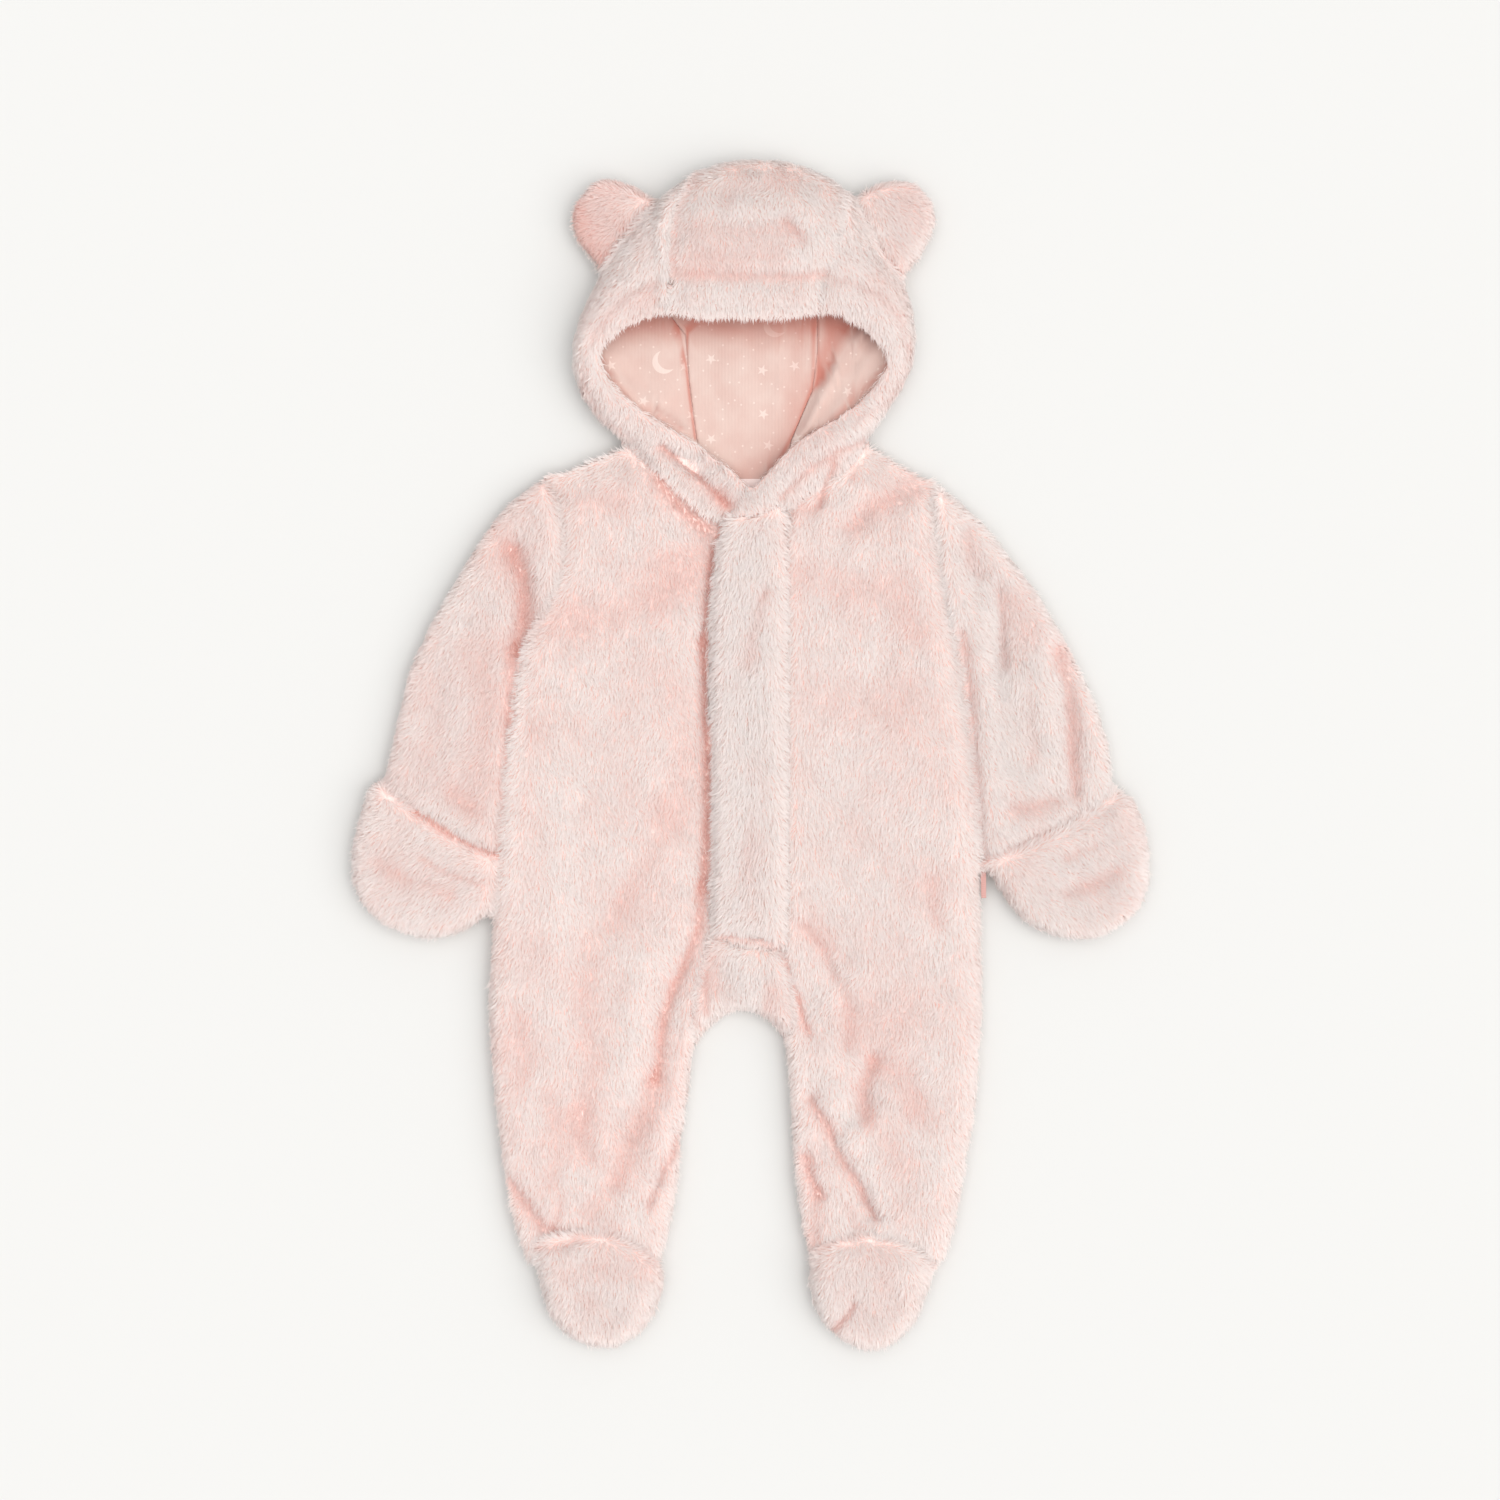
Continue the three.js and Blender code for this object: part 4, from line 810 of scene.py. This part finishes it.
# Lining creases: their third value is the painted shade on the jersey, strongest in the band under the brim
linings = {
    "lining_centre": {"flat": (0.115, 0.33), "area": 0.0288, "rests": ["hood_centre_cloth"], "creases": [
        (0.3, 1.1, 0.6, [(688, 318), (687, 345), (686, 362)]),
        (0.0, 1.2, 0.5, [(686, 362), (690, 400), (696, 440)]),
        (-2.5, 9.0, 0.0, [(738, 330), (742, 400)]),
        (-2.0, 6.0, 0.0, [(778, 330), (774, 380)]),
        (0.0, 5.0, 0.15, [(800, 322), (798, 370), (790, 410)]),
        (0.0, 11.0, 0.75, [(690, 318), (750, 322), (816, 318)]),
        (0.0, 1.6, 0.5, [(814, 322), (813, 385), (798, 425), (778, 462), (758, 484)]),
        (0.0, 9.0, 0.3, [(812, 390), (796, 425), (765, 470), (735, 478)]),
    ]},
    "lining_side_right": {"flat": (0.12, 0.18), "area": 0.0138, "rests": ["hood_side_right_cloth"], "creases": [
        (0.3, 1.2, 0.75, [(675, 317), (681, 345), (686, 366), (690, 400), (695, 438)]),
        (-2.5, 9.0, -0.05, [(655, 350), (668, 392)]),
        (-4.0, 4.0, -0.1, [(612, 352), (624, 384), (650, 408), (684, 432)]),
        (-5.0, 8.0, 0.0, [(600, 352), (610, 384), (638, 412), (672, 438)]),
        (0.3, 1.5, 0.45, [(641, 394), (658, 411), (684, 431)]),
        (0.3, 1.5, 0.4, [(598, 352), (607, 372), (618, 388), (642, 406), (668, 425)]),
        (0.0, 10.0, 0.7, [(618, 324), (650, 320), (685, 320)]),
    ]},
    "lining_side_left": {"flat": (0.12, 0.18), "area": 0.0138, "rests": ["hood_side_left_cloth"], "creases": [
        (-6.0, 3.6, -0.1, [(862, 334), (842, 362), (825, 392), (807, 428), (793, 452)]),
        (-5.0, 8.0, 0.0, [(880, 346), (860, 374), (842, 402), (824, 430)]),
        (-7.0, 8.0, 0.0, [(894, 346), (891, 372), (864, 404), (832, 434)]),
        (0.4, 1.6, 0.4, [(817, 320), (819, 384)]),
        (0.6, 5.0, 0.6, [(832, 320), (828, 345), (820, 378)]),
        (0.6, 1.6, 0.55, [(848, 328), (838, 352), (828, 368), (802, 404), (786, 438), (768, 468)]),
        (0.4, 4.5, 0.4, [(852, 327), (838, 344)]),
        (0.6, 1.8, 0.5, [(890, 364), (864, 390), (832, 420), (800, 446)]),
        (0.0, 9.0, 0.5, [(820, 316), (850, 320), (872, 330)]),
        (0.0, 4.0, 0.5, [(896, 352), (895, 372)]),
    ]},
}


def liningCloth(nodeName, lining, settings):
    obj = remeshedCopy(nodeName, nodeName + "_cloth", settings["voxelMm"], settings["smoothing"])
    thin = obj.modifiers.new("thin", "DECIMATE")
    thin.ratio = settings["keep"]
    mesh = applied(obj)
    work = bmesh.new()
    work.from_mesh(mesh)
    thin = [crease for crease in lining["creases"] if crease[1] < settings["thinMm"]]
    for _ in range(3):
        middles = np.array([(edge.verts[0].co + edge.verts[1].co) / 2 for edge in work.edges]) / mm
        near = np.min([awayFrom(line, middles[:, 0], middles[:, 1]) / width for _, width, _, line in thin], axis=0)
        limits = np.where((near < 1.3) & (middles[:, 2] > 3), settings["fineMm"], settings["longestMm"]) * mm
        tooLong = [edge for edge, limit in zip(work.edges, limits) if edge.calc_length() > limit]
        bmesh.ops.subdivide_edges(work, edges=tooLong, cuts=1)
        bmesh.ops.triangulate(work, faces=work.faces)
    work.to_mesh(mesh)
    work.free()
    points, normals, _ = meshArrays(mesh)
    others = neighboursOf(nodeName)
    for index, (point, normal) in enumerate(zip(points, normals)):
        distance = others.ray_cast(Vector(point), Vector(normal), settings["seamReachMm"] * mm)[3]
        if distance and abs(normal[2]) < 0.8:
            points[index] = point + normal * max(distance - settings["seamHalfMm"] * mm, 0)
    x, y = points[:, 0] / mm, points[:, 1] / mm
    depth = np.minimum(creased(lining["creases"], x, y, 0), settings["pressMm"])
    for index in np.nonzero(depth < 0)[0]:
        above = others.ray_cast(Vector(points[index]), Vector((0, 0, 1)), 60 * mm)[3]
        if above:
            depth[index] = max(depth[index], 1 - above / mm) if above > mm else 0
    points[:, 2] -= depth * mm * np.clip(normals[:, 2] * 2, 0, 1)
    setPoints(mesh, points)
    # Painted shade along the folds and seams and under the brim, kept in a UV map for the jersey's colour
    corners = np.zeros(len(mesh.loops), dtype=np.int64)
    mesh.loops.foreach_get("vertex_index", corners)
    folds = np.zeros((len(mesh.loops), 2))
    folds[:, 0] = np.clip(creased(lining["creases"], x, y, 1), 0, 0.9)[corners]
    mesh.uv_layers.new(name="folds").data.foreach_set("uv", folds.ravel())
    mesh.polygons.foreach_set("use_smooth", np.ones(len(mesh.polygons), dtype=bool))
    mesh.materials.append(jerseyMaterial)
    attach(obj, "root")
    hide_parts(nodeName)
    print("  ", nodeName, len(mesh.polygons), "faces,",
          round(sum(face.area for face in mesh.polygons) / 2, 4), "square metres a layer")


for nodeName, lining in linings.items():
    liningCloth(nodeName, lining, liningSettings)

print("stage: labels")
cadNodes["neck_label"].material_slots[0].material = neckLabelMaterial
cadNodes["side_label"].material_slots[0].material = sideLabelMaterial
